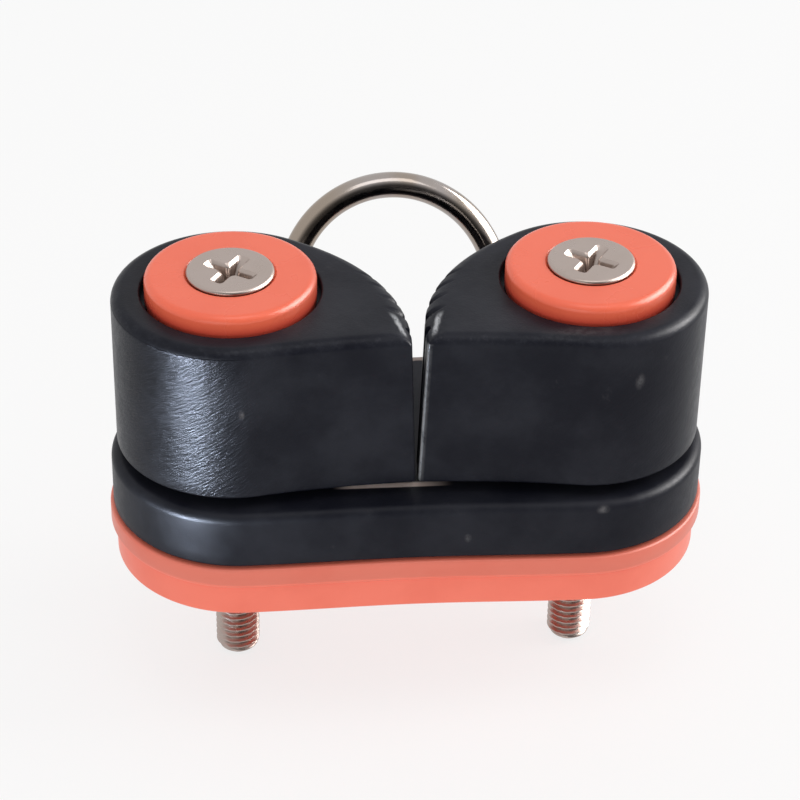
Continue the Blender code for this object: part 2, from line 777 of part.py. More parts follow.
def build_balls(side, tag, material):
    """Two full rows of loose balls round a post, carried by an empty on its axis."""
    axis = add_object("axis_balls_" + tag, None, post_place(side))
    bm = bmesh.new()
    bmesh.ops.create_icosphere(bm, subdivisions=2, radius=BALL_RADIUS)
    mesh = finish_mesh("ball", bm, 80.0)
    mesh.materials.append(material)
    for row, height in (("lower", lower_row), ("upper", upper_row)):
        for k in range(balls_per_row):
            x, y = polar(ball_pitch, 2.0 * pi * k / balls_per_row)
            add_object("ball_%s_%s_%02d" % (tag, row, k + 1), mesh, (x, y, height), axis)


def main():
    clear_scene()
    black = make_material("black_moulding", (0.018, 0.018, 0.022), 0.45)
    orange = make_material("orange_moulding", (0.87, 0.20, 0.12), 0.4)
    steel = make_material("stainless_steel", (0.55, 0.52, 0.48), 0.3, 1.0)
    spring_steel = make_material("spring_wire", (0.45, 0.44, 0.42), 0.35, 1.0)
    white = make_material("ball_acetal", (0.75, 0.74, 0.70), 0.3)
    build_pad(orange)
    build_base(black)
    build_ring(steel)
    for side, tag in SIDES:
        build_cam(side, "cam_" + tag, black)
        build_cap(side, "cap_" + tag, orange)
        build_spring(side, "spring_" + tag, spring_steel)
        build_balls(side, tag, white)
        build_screw(side, "screw_" + tag, steel)


main()
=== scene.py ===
"""Finished surfaces, materials, stage and camera of a sprung cam cleat.

Everything is in metres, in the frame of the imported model: +X along the cleat, +Z up, with the
line coming in from +Y through the wire ring and leaving towards -Y, where the cam tips meet.
"""

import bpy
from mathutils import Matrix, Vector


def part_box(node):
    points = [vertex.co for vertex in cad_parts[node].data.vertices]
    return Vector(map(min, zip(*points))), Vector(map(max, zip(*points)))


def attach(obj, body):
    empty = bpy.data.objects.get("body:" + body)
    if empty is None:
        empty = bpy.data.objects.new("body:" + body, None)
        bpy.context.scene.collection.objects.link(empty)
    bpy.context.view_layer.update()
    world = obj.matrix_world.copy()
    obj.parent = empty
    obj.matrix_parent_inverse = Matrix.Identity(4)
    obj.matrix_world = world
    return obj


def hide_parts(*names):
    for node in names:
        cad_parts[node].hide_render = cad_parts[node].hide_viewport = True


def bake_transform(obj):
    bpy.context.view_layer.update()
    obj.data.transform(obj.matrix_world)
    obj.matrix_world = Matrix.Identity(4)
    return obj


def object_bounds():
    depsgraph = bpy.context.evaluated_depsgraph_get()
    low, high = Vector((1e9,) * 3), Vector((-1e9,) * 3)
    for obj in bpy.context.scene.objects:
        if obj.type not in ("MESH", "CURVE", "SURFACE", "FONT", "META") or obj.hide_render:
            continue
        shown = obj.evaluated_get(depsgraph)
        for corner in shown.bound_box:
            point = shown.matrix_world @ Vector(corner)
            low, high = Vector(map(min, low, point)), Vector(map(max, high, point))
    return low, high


bl_info = {
    "name": "Cam Cleat Finish",
    "version": (1, 0, 0),
    "blender": (4, 5, 0),
    "location": "View3D > Sidebar > Cam Cleat",
    "description": "Builds the finished pieces of a cam cleat round its packed model",
    "category": "Add Mesh",
}

from math import atan2, cos, hypot, pi, radians, sin, tan

import bmesh
import bpy
import numpy as np
from bpy.props import FloatProperty, FloatVectorProperty, IntProperty, PointerProperty
from bpy.types import Operator, Panel, PropertyGroup
from mathutils import Matrix, Vector

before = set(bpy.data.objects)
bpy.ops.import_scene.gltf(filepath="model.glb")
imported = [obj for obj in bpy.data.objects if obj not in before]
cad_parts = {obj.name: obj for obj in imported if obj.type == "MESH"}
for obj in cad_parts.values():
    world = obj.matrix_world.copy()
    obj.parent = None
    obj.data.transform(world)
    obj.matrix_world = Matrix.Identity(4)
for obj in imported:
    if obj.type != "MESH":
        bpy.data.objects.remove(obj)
cad_low, cad_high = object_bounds()

mm = 0.001
SIDES = ((-1, "left"), (1, "right"))

pad_low, pad_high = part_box("riser_pad")
base_low, base_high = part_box("base_plate")
cam_low, cam_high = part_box("cam_right")
cap_low, cap_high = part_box("cap_right")
screw_low, screw_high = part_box("screw_right")
ring_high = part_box("fairlead_ring")[1]
ball_low, ball_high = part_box("ball_right_lower_01")
upper_ball_low, upper_ball_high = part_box("ball_right_upper_01")


def length(name, default, description):
    """A size in metres."""
    return FloatProperty(name=name, description=description, default=default, min=0.0,
                         precision=5, unit='LENGTH')


def angle(name, default, description):
    """An angle, given in degrees and kept in radians."""
    return FloatProperty(name=name, description=description, default=radians(default),
                         subtype='ANGLE', unit='ROTATION')


def colour(name, default, description):
    """A linear colour."""
    return FloatVectorProperty(name=name, description=description, default=default, size=3,
                               min=0.0, max=1.0, subtype='COLOR')


class CleatSizes(PropertyGroup):
    """Sizes of the pieces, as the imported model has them."""

    post_x: length("Post offset", 0.5 * (screw_low.x + screw_high.x), "Post axis from the middle")

    pad_half_length: length("Pad half length", pad_high.x, "Half the length of the riser pad")
    pad_half_width: length("Pad half width", -pad_low.y, "Half the width of the riser pad")
    pad_top: length("Pad top", pad_high.z, "Height of the pad")
    pad_lip: length("Pad lip", 2.1 * mm, "Height of the lip round the top of the pad")
    pad_chamfer: length("Pad chamfer", 0.6 * mm, "Height of the slope under the lip")
    pad_inset: length("Skirt inset", 0.6 * mm, "How far the skirt stands in from the lip")
    pad_edge: length("Pad edge", 0.3 * mm, "Rounding of the pad's edges")

    base_half_length: length("Base half length", base_high.x, "Half the length of the base")
    base_half_width: length("Base half width", -base_low.y, "Half the width of the base")
    base_bottom: length("Base underside", base_low.z, "Height of the base's underside")
    base_top: length("Base top", 13.0 * mm, "Height of the base's floor")
    base_top_edge: length("Base shoulder", 1.1 * mm, "Rounding of the base's upper edge")
    base_low_edge: length("Base lower edge", 0.3 * mm, "Rounding of the base's lower edge")
    waist: length("Waist", 0.4 * mm, "How far the long sides are drawn in")
    tongue_reach: length("Tongue reach", 2.8 * mm, "How far the tongue stands out at the mouth")
    tongue_half: length("Tongue half width", 9.6 * mm, "Half the width of the tongue at its root")
    tongue_blend: length("Tongue blend", 2.2 * mm, "Width over which the tongue rises")

    boss_radius: length("Boss radius", 8.6 * mm, "Radius of the floor that carries the balls")
    boss_top: length("Boss top", 14.8 * mm, "Height of that floor")
    post_radius: length("Post radius", 4.8 * mm, "Radius of the inner race")
    post_top: length("Post top", 26.7 * mm, "Height of the inner race")
    neck_radius: length("Neck radius", 3.7 * mm, "Radius of the neck under the cap")
    neck_top: length("Neck top", base_high.z, "Height of the neck")
    hole_radius: length("Screw hole radius", 2.8 * mm, "Radius of the holes for the screws")

    cam_bottom: length("Cam underside", 14.4 * mm, "Height of the cams' underside")
    cam_top: length("Cam top", cam_high.z, "Height of the cams' top")
    heel_radius: length("Heel radius", 12.6 * mm, "Radius of the round heel")
    tip_gap: length("Tip gap", 0.3 * mm, "Gap between the tips at the bottom")
    tip_setback: length("Tip setback", 10.8 * mm, "How far the tips lie in front of the posts")
    tip_corner: length("Tip corner", 0.3 * mm, "Rounding of the tip's upright edge")
    flank_angle: angle("Flank start", 55.0, "Where the gripping face leaves the heel")
    front_angle: angle("Front start", 280.0, "Where the hollow front leaves the heel")
    flank_rise: FloatProperty(name="Flank rise", description="Power of the turn by which the "
                              "gripping face leaves the heel", default=1.8, min=1.0, max=4.0)
    flank_draft: angle("Flank draft", 2.2, "Lean of the gripping face")
    cam_edge: length("Cam top edge", 1.2 * mm, "Rounding of the cams' upper edge")
    tip_bevel: FloatProperty(name="Tip bevel", description="Reach of the top edge at the tip, "
                             "against its reach elsewhere", default=1.9, min=1.0, max=3.0)
    cam_low_edge: length("Cam lower edge", 0.35 * mm, "Rounding of the cams' lower edge")
    tooth_pitch: length("Tooth pitch", 2.6 * mm, "Distance from tooth to tooth")
    tooth_depth: length("Tooth depth", 0.9 * mm, "Depth of the grooves between teeth")
    tooth_width: length("Groove width", 1.5 * mm, "Width of the grooves at the face")
    tooth_count: IntProperty(name="Grooves", description="Grooves on each gripping face",
                             default=5, min=1, max=12)

    race_radius: length("Race radius", 9.0 * mm, "Radius of the outer races")
    chamber_radius: length("Chamber radius", 6.7 * mm, "Radius of the spring's chamber")
    web_radius: length("Web radius", 5.3 * mm, "Radius of the web's bore")
    cap_recess: length("Cap recess", 9.55 * mm, "Radius of the recess round the cap")

    cap_edge: length("Cap edge", 0.8 * mm, "Rounding of the caps' rim")
    cap_radius: length("Cap radius", 0.5 * (cap_high.x - cap_low.x), "Radius of the caps")
    cap_top: length("Cap top", cap_high.z, "Height of the caps' top")
    flange: length("Cap flange", 3.1 * mm, "Thickness of the caps' flange")
    seat_gap: length("Seat gap", 0.3 * mm, "Gap between seated pieces")
    sink_gap: length("Countersink gap", 0.06 * mm, "Gap between a head's cone and its cap")

    head_radius: length("Head radius", 0.5 * (screw_high.x - screw_low.x), "Radius of the heads")
    head_top: length("Head top", screw_high.z, "Height of the screw heads")
    head_rim: length("Head rim", 0.42 * mm, "Height of the heads' upright rim")
    screw_tip: FloatProperty(name="Screw tip", description="Height of the screws' lower ends",
                             default=screw_low.z, precision=5, unit='LENGTH')
    screw_radius: length("Screw radius", 2.45 * mm, "Outer radius of the thread")
    thread_pitch: length("Thread pitch", 0.8 * mm, "Rise of the thread in one turn")
    thread_depth: length("Thread depth", 0.42 * mm, "Depth of the thread")
    thread_length: length("Threaded length", 24.0 * mm, "Length of the thread from the tip")
    recess_reach: length("Recess reach", 2.8 * mm, "Reach of the recess's wings")
    recess_width: length("Recess width", 1.1 * mm, "Width of the recess's wings")
    recess_depth: length("Recess depth", 2.2 * mm, "Depth of the recess")
    recess_turn: angle("Recess turn", 57.0, "Turn of the recess about the screw")

    wire_radius: length("Wire radius", 1.47 * mm, "Radius of the ring's wire")
    ring_radius: length("Ring radius", ring_high.x - 1.5 * mm, "Radius of the ring's arch")
    ring_lean: angle("Ring lean", 30.0, "Lean of the ring away from the cams")
    leg_setback: length("Leg setback", 17.3 * mm, "Where the legs pass the base's floor level")
    leg_height: length("Leg height", 7.0 * mm, "Length of the legs above the floor's level")
    foot_bend: length("Foot bend", 3.5 * mm, "Bend between foot and leg")
    toe_bend: length("Toe bend", 3.0 * mm, "Bend between foot and toe")
    foot_length: length("Foot length", 11.0 * mm, "Length of the feet under the base")
    toe_length: length("Toe length", 5.0 * mm, "Length of the toes that turn inwards")

    spring_wire: length("Spring wire radius", 0.5 * mm, "Radius of the springs' wire")
    coil_radius: length("Coil radius", 5.75 * mm, "Radius of the coil's centreline")
    coil_pitch: length("Coil pitch", 1.3 * mm, "Rise of the coil in one turn")
    coil_bottom: length("Coil bottom", 19.9 * mm, "Height of the lowest turn")
    coil_top: length("Coil top", 25.3 * mm, "Height of the highest turn")
    spring_bend: length("Spring bend", 0.8 * mm, "Bend between coil and legs")
    spring_start: angle("Spring start", 200.0, "Where the inner leg lies on the left post")

    ball_radius: length("Ball radius", 0.5 * (ball_high.z - ball_low.z), "Radius of the balls")
    ball_pitch: length("Ball circle", 6.9 * mm, "Radius of the circle that the balls run on")
    lower_row: length("Lower row", 0.5 * (ball_low.z + ball_high.z), "Height of the lower balls")
    upper_row: length("Upper row", 0.5 * (upper_ball_low.z + upper_ball_high.z),
                      "Height of the upper balls")
    balls_per_row: IntProperty(name="Balls in a row", description="Balls in each row",
                               default=10, min=3, max=40)

    lug_radius: length("Lug radius", 0.9 * mm, "Radius of the stop lug under each cam")
    lug_orbit: length("Lug orbit", 10.5 * mm, "Distance of the lug from its post")
    lug_bottom: length("Lug bottom", cam_low.z, "Height of the lug's lower end")
    lug_angle: angle("Lug angle", 170.0, "Where the left cam's lug rests")
    opening: angle("Opening", 50.0, "How far a cam opens")
    slack: length("Slack", 0.35 * mm, "Room round the lug in its groove")


class CleatColours(PropertyGroup):
    """Colours of the finishes, stage and light."""

    black: colour("Black moulding", (0.0066, 0.0072, 0.0122), "Glass-filled black moulding")
    # Rubbed edges; on the cams' upright tip edges this paleness is a painted highlight.
    rubbed: colour("Rubbed moulding", (0.10, 0.105, 0.125), "Edges rubbed grey")
    # Colour of the painted highlights beside the cams' tips.
    tip_highlight: colour("Burnished moulding", (0.42, 0.43, 0.45), "Facets rubbed bright by the line")
    dust: colour("Dust", (0.17, 0.165, 0.17), "Pale dust and scuffs")
    # Painted light on the base's floor: a lit strip under the tips and a highlight at the rear.
    floor_light: colour("Worn floor", (0.97, 0.78, 0.70), "Floor under the cams, worn by the line")
    orange: colour("Orange moulding", (0.93, 0.160, 0.082), "Caps")
    pad_orange: colour("Pad moulding", (1.0, 0.215, 0.140), "Riser pad's skirt")
    # Painted shade on the pad's lip under the base.
    pad_lip_shade: colour("Pad lip", (0.80, 0.190, 0.126), "Riser pad's lip")
    # Painted shade on the caps' lower rim.
    cap_foot_shade: colour("Cap foot", (0.80, 0.095, 0.058), "Lower rim of the caps")
    deep_orange: colour("Deep orange", (0.72, 0.085, 0.040), "Darker tone of the orange")
    steel: colour("Stainless steel", (0.41, 0.345, 0.315), "Screws")
    polished: colour("Polished steel", (0.36, 0.325, 0.31), "Wire ring")
    # Warm tint on the steel, and a painted reflection on the ring's left side.
    tarnish_and_reflection: colour("Warm steel", (0.27, 0.20, 0.125), "Warm tint on the steel")
    wire: colour("Spring wire", (0.45, 0.44, 0.42), "Springs")
    acetal: colour("Balls", (0.75, 0.74, 0.70), "Off-white balls")
    floor: colour("Floor", (0.92, 0.92, 0.92), "Plain pale floor")


# Points along the curves of the plans
END_POINTS = 72
SIDE_POINTS = 12
BLEND_POINTS = 14
FRONT_POINTS = 66
HEEL_POINTS = 150
HOLLOW_POINTS = 56
FLANK_POINTS = 230
CAM_EDGE_STEPS = 20

# How much of an inset the first groove of a cam loses in depth, and how much the others
FIRST_WEAR = 3.0
WEAR = 0.6

# Direction in which the hollow front of the left cam meets its tip
FRONT_ARRIVAL = (1.0, 0.04)

# Play round the balls and above the cap's recess, and the web between balls and spring
BALL_PLAY = 0.1 * mm
RECESS_PLAY = 0.2 * mm
WEB = 1.0 * mm

# Length of the ring's wire that its drawn lines are spread over
WIRE_LENGTH = 110.0 * mm

# How far cutters reach past what they cut, and posts into the plate that they stand on
REACH_PAST = 1.0 * mm
POST_SINK = 2.0 * mm


# Shapes


def skin(rings, closed=False):
    """Points and faces of a surface through rings of equal point count.

    Each ring is joined to the next by quads. A closed surface joins its last ring to its
    first, and an open one ends in a fan to the middle of each end ring.
    """
    count, around = rings.shape[:2]
    points = rings.reshape(-1, 3)
    row = np.arange(count if closed else count - 1)[:, None]
    step = np.arange(around)[None, :]
    after = (step + 1) % around
    above = (row + 1) % count
    corners = (row * around + step, row * around + after, above * around + after,
               above * around + step)
    faces = np.stack(corners, axis=-1).reshape(-1, 4).tolist()
    if not closed:
        ends = np.stack([rings[0].mean(axis=0), rings[-1].mean(axis=0)])
        first = len(points)
        points = np.concatenate([points, ends])
        step, after = step[0], after[0]
        last = (count - 1) * around
        low = np.stack([np.full(around, first), after, step], axis=-1)
        high = np.stack([np.full(around, first + 1), last + step, last + after], axis=-1)
        faces += low.tolist() + high.tolist()
    return points, faces


def turned(profile, around):
    """Rings of a turned shape: each profile pair of radius and height swept round Z."""
    turn = np.linspace(0.0, 2.0 * pi, around, endpoint=False)
    profile = np.asarray(profile)
    radius = profile[:, 0, None]
    height = np.broadcast_to(profile[:, 1, None], (len(profile), around))
    return np.stack([radius * np.cos(turn), radius * np.sin(turn), height], axis=-1)


def swept(path, radius, around, reference):
    """Rings of a round wire: a circle square to the path's direction at each of its points.

    The circle's first axis is square to the direction and to the reference, and its second
    is square to both. The last rings at each end shrink to round the wire's end.
    """
    direction = np.gradient(path, axis=0)
    direction /= np.linalg.norm(direction, axis=1, keepdims=True)
    across = np.cross(direction, reference)
    across /= np.linalg.norm(across, axis=1, keepdims=True)
    upward = np.cross(across, direction)
    turn = np.linspace(0.0, 2.0 * pi, around, endpoint=False)[None, :, None]
    circle = across[:, None, :] * np.cos(turn) + upward[:, None, :] * np.sin(turn)
    rings = path[:, None, :] + radius * circle
    rounding = np.linspace(0.0, 0.5 * pi, 6)[1:-1]
    ends = []
    for index, sign in ((0, -1.0), (-1, 1.0)):
        share = np.cos(rounding)[:, None, None]
        reach = (0.5 * radius * np.sin(rounding))[:, None] * direction[index] * sign
        ends.append(path[index] + reach[:, None, :] + radius * share * circle[index])
    return np.concatenate([ends[0][::-1], rings, ends[1]])


def rounded(start, corner, end, radius, steps):
    """Points of an arc that replaces a corner and touches both of its legs."""
    start, corner, end = (np.asarray(p, dtype=float) for p in (start, corner, end))
    back = (start - corner) / np.linalg.norm(start - corner)
    ahead = (end - corner) / np.linalg.norm(end - corner)
    half = 0.5 * np.arccos(np.clip(back @ ahead, -1.0, 1.0))
    middle = (back + ahead) / np.linalg.norm(back + ahead)
    centre = corner + middle * radius / sin(half)
    first = corner + back * radius / tan(half) - centre
    last = corner + ahead * radius / tan(half) - centre
    sweep = pi - 2.0 * half
    share = np.linspace(0.0, 1.0, steps + 1)[:, None]
    blend = first * np.sin((1.0 - share) * sweep) + last * np.sin(share * sweep)
    return centre + blend / sin(sweep)


def smooth_step(value):
    """Rise from 0 to 1 with level ends."""
    t = np.clip(value, 0.0, 1.0)
    return t * t * (3.0 - 2.0 * t)


def edge_arc(radius, steps):
    """Pairs of inset and drop of a rounded edge, from its upright side to its level top."""
    turn = np.linspace(0.0, 0.5 * pi, steps + 1)
    return list(zip(radius * (1.0 - np.cos(turn)), radius * (1.0 - np.sin(turn))))


def plate_outline(sizes, half_length, half_width, inset, tongue):
    """Plan of the base or pad, counter-clockwise from the right end of its front.

    Round ends join long sides that are drawn in by a cosine squared, and the rear side
    rises by a smooth step to the tongue.
    """
    radius = half_width - inset
    centre = half_length - half_width
    edge = sizes.tongue_half - inset
    level = edge - sizes.tongue_blend

    def long_side(x):
        return radius - sizes.waist * np.cos(0.5 * pi * x / centre) ** 2

    turn = np.linspace(-0.5 * pi, 0.5 * pi, END_POINTS)
    right = np.stack([centre + radius * np.cos(turn), radius * np.sin(turn)], axis=1)
    left = np.stack([-centre - radius * np.cos(turn), -radius * np.sin(turn)], axis=1)
    along = np.concatenate([np.linspace(centre, edge, SIDE_POINTS)[1:],
                            np.linspace(edge, level, BLEND_POINTS)[1:],
                            np.linspace(level, 0.0, SIDE_POINTS)[1:]])
    along = np.concatenate([along, -along[-2::-1]])
    rear = long_side(along) + tongue * smooth_step((edge - np.abs(along)) / sizes.tongue_blend)
    back = np.stack([along, rear], axis=1)
    across = np.linspace(-centre, centre, FRONT_POINTS)[1:-1]
    front = np.stack([across, -long_side(across)], axis=1)
    return np.concatenate([right, back, left, front])


def level_ring(outline, height):
    """A plan outline as a ring of points at one height."""
    return np.column_stack([outline, np.full(len(outline), height)])


def tooth_cut(sizes, travelled):
    """Depth of the gripping face's grooves at a distance from the tip.

    Each pitch holds one groove, steep on its side towards the tip and easy on the other,
    with a rounded bottom. The grooves end after their count.
    """
    place = travelled / sizes.tooth_pitch
    number = np.round(place)
    offset = (place - number) * sizes.tooth_pitch
    steep = 0.30 * sizes.tooth_width
    easy = 0.70 * sizes.tooth_width
    bottom = offset + 0.5 * (easy - steep)
    fall = np.where(bottom < 0.0, -bottom / steep, bottom / easy)
    depth = sizes.tooth_depth * smooth_step(1.15 * (1.0 - fall))
    return np.where((number >= 1) & (number <= sizes.tooth_count), depth, 0.0)


def cam_front(sizes, start, tip):
    """Hollow front of a cam: a cubic curve that leaves the heel along it and ends in the tip."""
    third = np.linalg.norm(tip - start) / 3.0
    leave = start + third * np.array([-sin(sizes.front_angle), cos(sizes.front_angle)])
    arrive = tip - np.array(FRONT_ARRIVAL) * third
    t = np.linspace(0.0, 1.0, 60)[1:, None]
    return ((1 - t) ** 3 * start + 3 * t * (1 - t) ** 2 * leave
            + 3 * t * t * (1 - t) * arrive + t ** 3 * tip)


def cam_flank(sizes, heel, tip):
    """Gripping face of a cam without its teeth, from the tip to the heel.

    It is a spiral: its radius exceeds the heel's by a power of the turn that is left.
    """
    tip_angle = atan2(tip[1], tip[0])
    turn = np.linspace(tip_angle, sizes.flank_angle, FLANK_POINTS + 1)
    share = (sizes.flank_angle - turn) / (sizes.flank_angle - tip_angle)
    radius = heel + (hypot(*tip) - heel) * share ** sizes.flank_rise
    return radius[:, None] * np.stack([np.cos(turn), np.sin(turn)], axis=1)


def toothed(sizes, flank, inset):
    """The gripping face with its grooves sunk square to it, and the distance along it.

    An inset wears the grooves away, first of all the one beside the tip.
    """
    step = np.gradient(flank, axis=0)
    pace = np.linalg.norm(step, axis=1)
    travelled = np.concatenate([[0.0], np.cumsum(0.5 * (pace[1:] + pace[:-1]))])
    inward = np.stack([-step[:, 1], step[:, 0]], axis=1) / pace[:, None]
    worn = np.where(travelled < 1.5 * sizes.tooth_pitch, FIRST_WEAR, WEAR)
    cut = np.maximum(tooth_cut(sizes, travelled) - worn * inset, 0.0)
    return flank + inward * cut[:, None], travelled


def cam_outline(sizes, side, inset, height):
    """Plan of a cam about its own axis at a height, drawn in by an inset.

    The heel is a round, the front a cubic curve and the flank a toothed spiral, with a
    small arc between them at the tip. The tip leans back with height, and its own edge is
    drawn in a little more than the rest. The right cam's plan is the left one's mirrored.
    """
    heel = sizes.heel_radius - inset
    draft = (height - sizes.cam_bottom) * tan(sizes.flank_draft)
    tip = np.array([
        sizes.post_x - 0.5 * sizes.tip_gap - draft - sizes.tip_bevel * inset,
        inset - sizes.tip_setback,
    ])
    turn = np.linspace(sizes.flank_angle, sizes.front_angle, HEEL_POINTS)
    round_heel = heel * np.stack([np.cos(turn), np.sin(turn)], axis=1)
    front = cam_front(sizes, round_heel[-1], tip)
    flank = cam_flank(sizes, heel, tip)
    corner = rounded(front[-5], tip, flank[4], sizes.tip_corner, 10)
    flank, travelled = toothed(sizes, flank, inset)
    taken = np.linalg.norm(corner[-1] - tip)
    wanted = taken + (travelled[-1] - taken) * np.linspace(0.0, 1.0, FLANK_POINTS)[1:-1]
    flank = np.stack([np.interp(wanted, travelled, flank[:, k]) for k in range(2)], axis=1)
    kept = np.linalg.norm(front - tip, axis=1) > np.linalg.norm(corner[0] - tip)
    front = resampled(np.concatenate([front[kept], corner[:1]]), HOLLOW_POINTS)[:-1]
    outline = np.concatenate([round_heel, front, corner, flank])
    if side > 0:
        outline = outline[::-1] * np.array([-1.0, 1.0])
    return outline


def distances(line):
    """Distance travelled along a line at each of its points."""
    pace = np.linalg.norm(np.diff(line, axis=0), axis=1)
    return np.concatenate([[0.0], np.cumsum(pace)])


def resampled(line, count):
    """The same line with evenly spaced points."""
    travelled = distances(line)
    wanted = np.linspace(0.0, travelled[-1], count)
    columns = [np.interp(wanted, travelled, column) for column in line.T]
    return np.stack(columns, axis=1)


def new_mesh(name, points, faces, sharp=30.0):
    """A mesh with outward faces, smooth but for edges sharper than an angle."""
    mesh = bpy.data.meshes.new(name)
    mesh.from_pydata(np.asarray(points).tolist(), [], faces)
    face_outwards(mesh)
    mesh.shade_smooth()
    mesh.set_sharp_from_angle(angle=radians(sharp))
    return mesh


def face_outwards(mesh):
    """Turn every face of a closed mesh outwards."""
    bm = bmesh.new()
    bm.from_mesh(mesh)
    bmesh.ops.recalc_face_normals(bm, faces=bm.faces)
    bm.to_mesh(mesh)
    bm.free()


def new_object(name, mesh):
    """Link a mesh into the scene as an object at the origin."""
    item = bpy.data.objects.new(name, mesh)
    bpy.context.scene.collection.objects.link(item)
    return item


def finish_piece(name, mesh, body, nodes, material):
    """Make a mesh a piece that rides on a body, stands for nodes and takes a slot's finish."""
    piece = new_object(name, mesh)
    piece.data.materials.clear()
    piece.data.materials.append(material)
    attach(piece, body)
    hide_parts(*nodes)
    return piece


def merge_close(mesh):
    """Merge points that lie on each other and drop the faces without area between them."""
    near = 0.0005 * mm
    bm = bmesh.new()
    bm.from_mesh(mesh)
    bmesh.ops.remove_doubles(bm, verts=bm.verts, dist=near)
    bmesh.ops.dissolve_degenerate(bm, dist=near, edges=bm.edges)
    bm.to_mesh(mesh)
    bm.free()


def carve(mesh, tools, operation='DIFFERENCE', sharp=30.0):
    """Cut or join other closed meshes with a mesh, and return the result."""
    item = new_object("work", mesh)
    helpers = []
    for tool in tools:
        helper = new_object("tool", tool)
        modifier = item.modifiers.new("carve", 'BOOLEAN')
        modifier.operation = operation
        modifier.solver = 'EXACT'
        modifier.object = helper
        helpers.append(helper)
    graph = bpy.context.evaluated_depsgraph_get()
    result = bpy.data.meshes.new_from_object(item.evaluated_get(graph))
    for extra in (item, *helpers):
        data = extra.data
        bpy.data.objects.remove(extra)
        bpy.data.meshes.remove(data)
    merge_close(result)
    result.shade_smooth()
    result.set_sharp_from_angle(angle=radians(sharp))
    return result


def shifted(points, x=0.0, y=0.0, z=0.0):
    """Points moved by a vector."""
    return points + np.array([x, y, z])


def cylinder_mesh(radius, low, high, x=0.0, y=0.0, around=64):
    """A plain cylinder as a closed mesh."""
    rings = turned([(radius, low), (radius, high)], around)
    return new_mesh("cylinder", *skin(shifted(rings, x, y)))


def box_mesh(low, high):
    """A box between two corners."""
    xs = np.array([low[0], high[0], high[0], low[0]])
    ys = np.array([low[1], low[1], high[1], high[1]])
    rings = np.stack([level_ring(np.stack([xs, ys], axis=1), z) for z in (low[2], high[2])])
    return new_mesh("box", *skin(rings))


def join_meshes(name, meshes):
    """One mesh that holds several closed ones."""
    bm = bmesh.new()
    for mesh in meshes:
        bm.from_mesh(mesh)
        bpy.data.meshes.remove(mesh)
    joined = bpy.data.meshes.new(name)
    bm.to_mesh(joined)
    bm.free()
    return joined


def plate_rings(sizes, half_length, half_width, tongue, rows):
    """Rings of a plate: its plan at each row's inset and height."""
    return np.stack([
        level_ring(plate_outline(sizes, half_length, half_width, inset, tongue), height)
        for inset, height in rows
    ])


def screw_holes(sizes, low, high):
    """Cutter for both screw holes between two heights."""
    return join_meshes("holes", [
        cylinder_mesh(sizes.hole_radius, low, high, side * sizes.post_x) for side, tag in SIDES
    ])


def pad_mesh(sizes):
    """Riser pad: an inset skirt, a slope, and a lip under the base, bored for the screws."""
    lip = sizes.pad_top - sizes.pad_lip
    inset, slope = sizes.pad_inset, sizes.pad_chamfer
    edge = edge_arc(sizes.pad_edge, 5)
    rows = [(inset + i, drop) for i, drop in edge[::-1]]
    rows += [(inset, lip - slope), (0.35 * inset, lip - 0.45 * slope)]
    rows += [(0.12 * inset, lip - 0.1 * slope), (0.0, lip + 0.1 * mm)]
    rows += [(i, sizes.pad_top - drop) for i, drop in edge]
    rings = plate_rings(sizes, sizes.pad_half_length, sizes.pad_half_width, 0.0, rows)
    mesh = new_mesh("riser_pad_moulding", *skin(rings))
    return carve(mesh, [screw_holes(sizes, -REACH_PAST, sizes.pad_top + REACH_PAST)])


def stop_groove(sizes, side):
    """Cutter for the arc groove in which a cam's stop lug runs.

    Its plan is the band that the lug sweeps, with some slack all round.
    """
    rest = sizes.lug_angle if side < 0 else pi - sizes.lug_angle
    opened = rest + side * sizes.opening
    reach = sizes.lug_radius + sizes.slack
    spare = reach / sizes.lug_orbit
    turn = np.linspace(min(rest, opened) - spare, max(rest, opened) + spare, 40)
    circle = np.stack([np.cos(turn), np.sin(turn)], axis=1)
    outline = np.concatenate([(sizes.lug_orbit + reach) * circle,
                              (sizes.lug_orbit - reach) * circle[::-1]])
    outline = outline + np.array([side * sizes.post_x, 0.0])
    heights = (sizes.lug_bottom - sizes.slack, sizes.base_top + REACH_PAST)
    return new_mesh("groove", *skin(np.stack([level_ring(outline, z) for z in heights])))


def wire_grooves(sizes, side):
    """Cutters for one foot of the ring: its foot, its toe and its way out at the rear."""
    half = sizes.wire_radius + sizes.seat_gap
    level = sizes.base_bottom + sizes.wire_radius
    corner_y = sizes.leg_setback - (sizes.base_top - level) * tan(sizes.ring_lean)
    toe_y = corner_y - sizes.foot_length
    inner, outer = sizes.ring_radius - half, sizes.ring_radius + half
    rear = sizes.base_half_width + REACH_PAST
    ceiling = level + half
    rise = sizes.foot_bend * (1.0 - cos(sizes.ring_lean)) + sizes.seat_gap
    spans = [
        (inner, outer, toe_y - half, rear, ceiling),
        (inner - sizes.toe_length, outer, toe_y - half, toe_y + half, ceiling),
        (inner, outer, corner_y - sizes.foot_bend, rear, ceiling + rise),
    ]
    low = sizes.base_bottom - REACH_PAST
    tools = []
    for near, far, front, back, top in spans:
        near, far = sorted((side * near, side * far))
        tools.append(box_mesh((near, front, low), (far, back, top)))
    return tools


def post_mesh(sizes, side):
    """A post, turned: the floor for the balls, the inner race, and the neck under the cap."""
    soft = 0.25 * mm
    boss, race, neck = sizes.boss_radius, sizes.post_radius, sizes.neck_radius
    profile = [(boss, sizes.base_top - POST_SINK), (boss, sizes.boss_top - soft),
               (boss - soft, sizes.boss_top), (race, sizes.boss_top),
               (race, sizes.post_top - soft), (race - soft, sizes.post_top),
               (neck, sizes.post_top), (neck, sizes.neck_top)]
    return new_mesh("post", *skin(shifted(turned(profile, 96), side * sizes.post_x)))


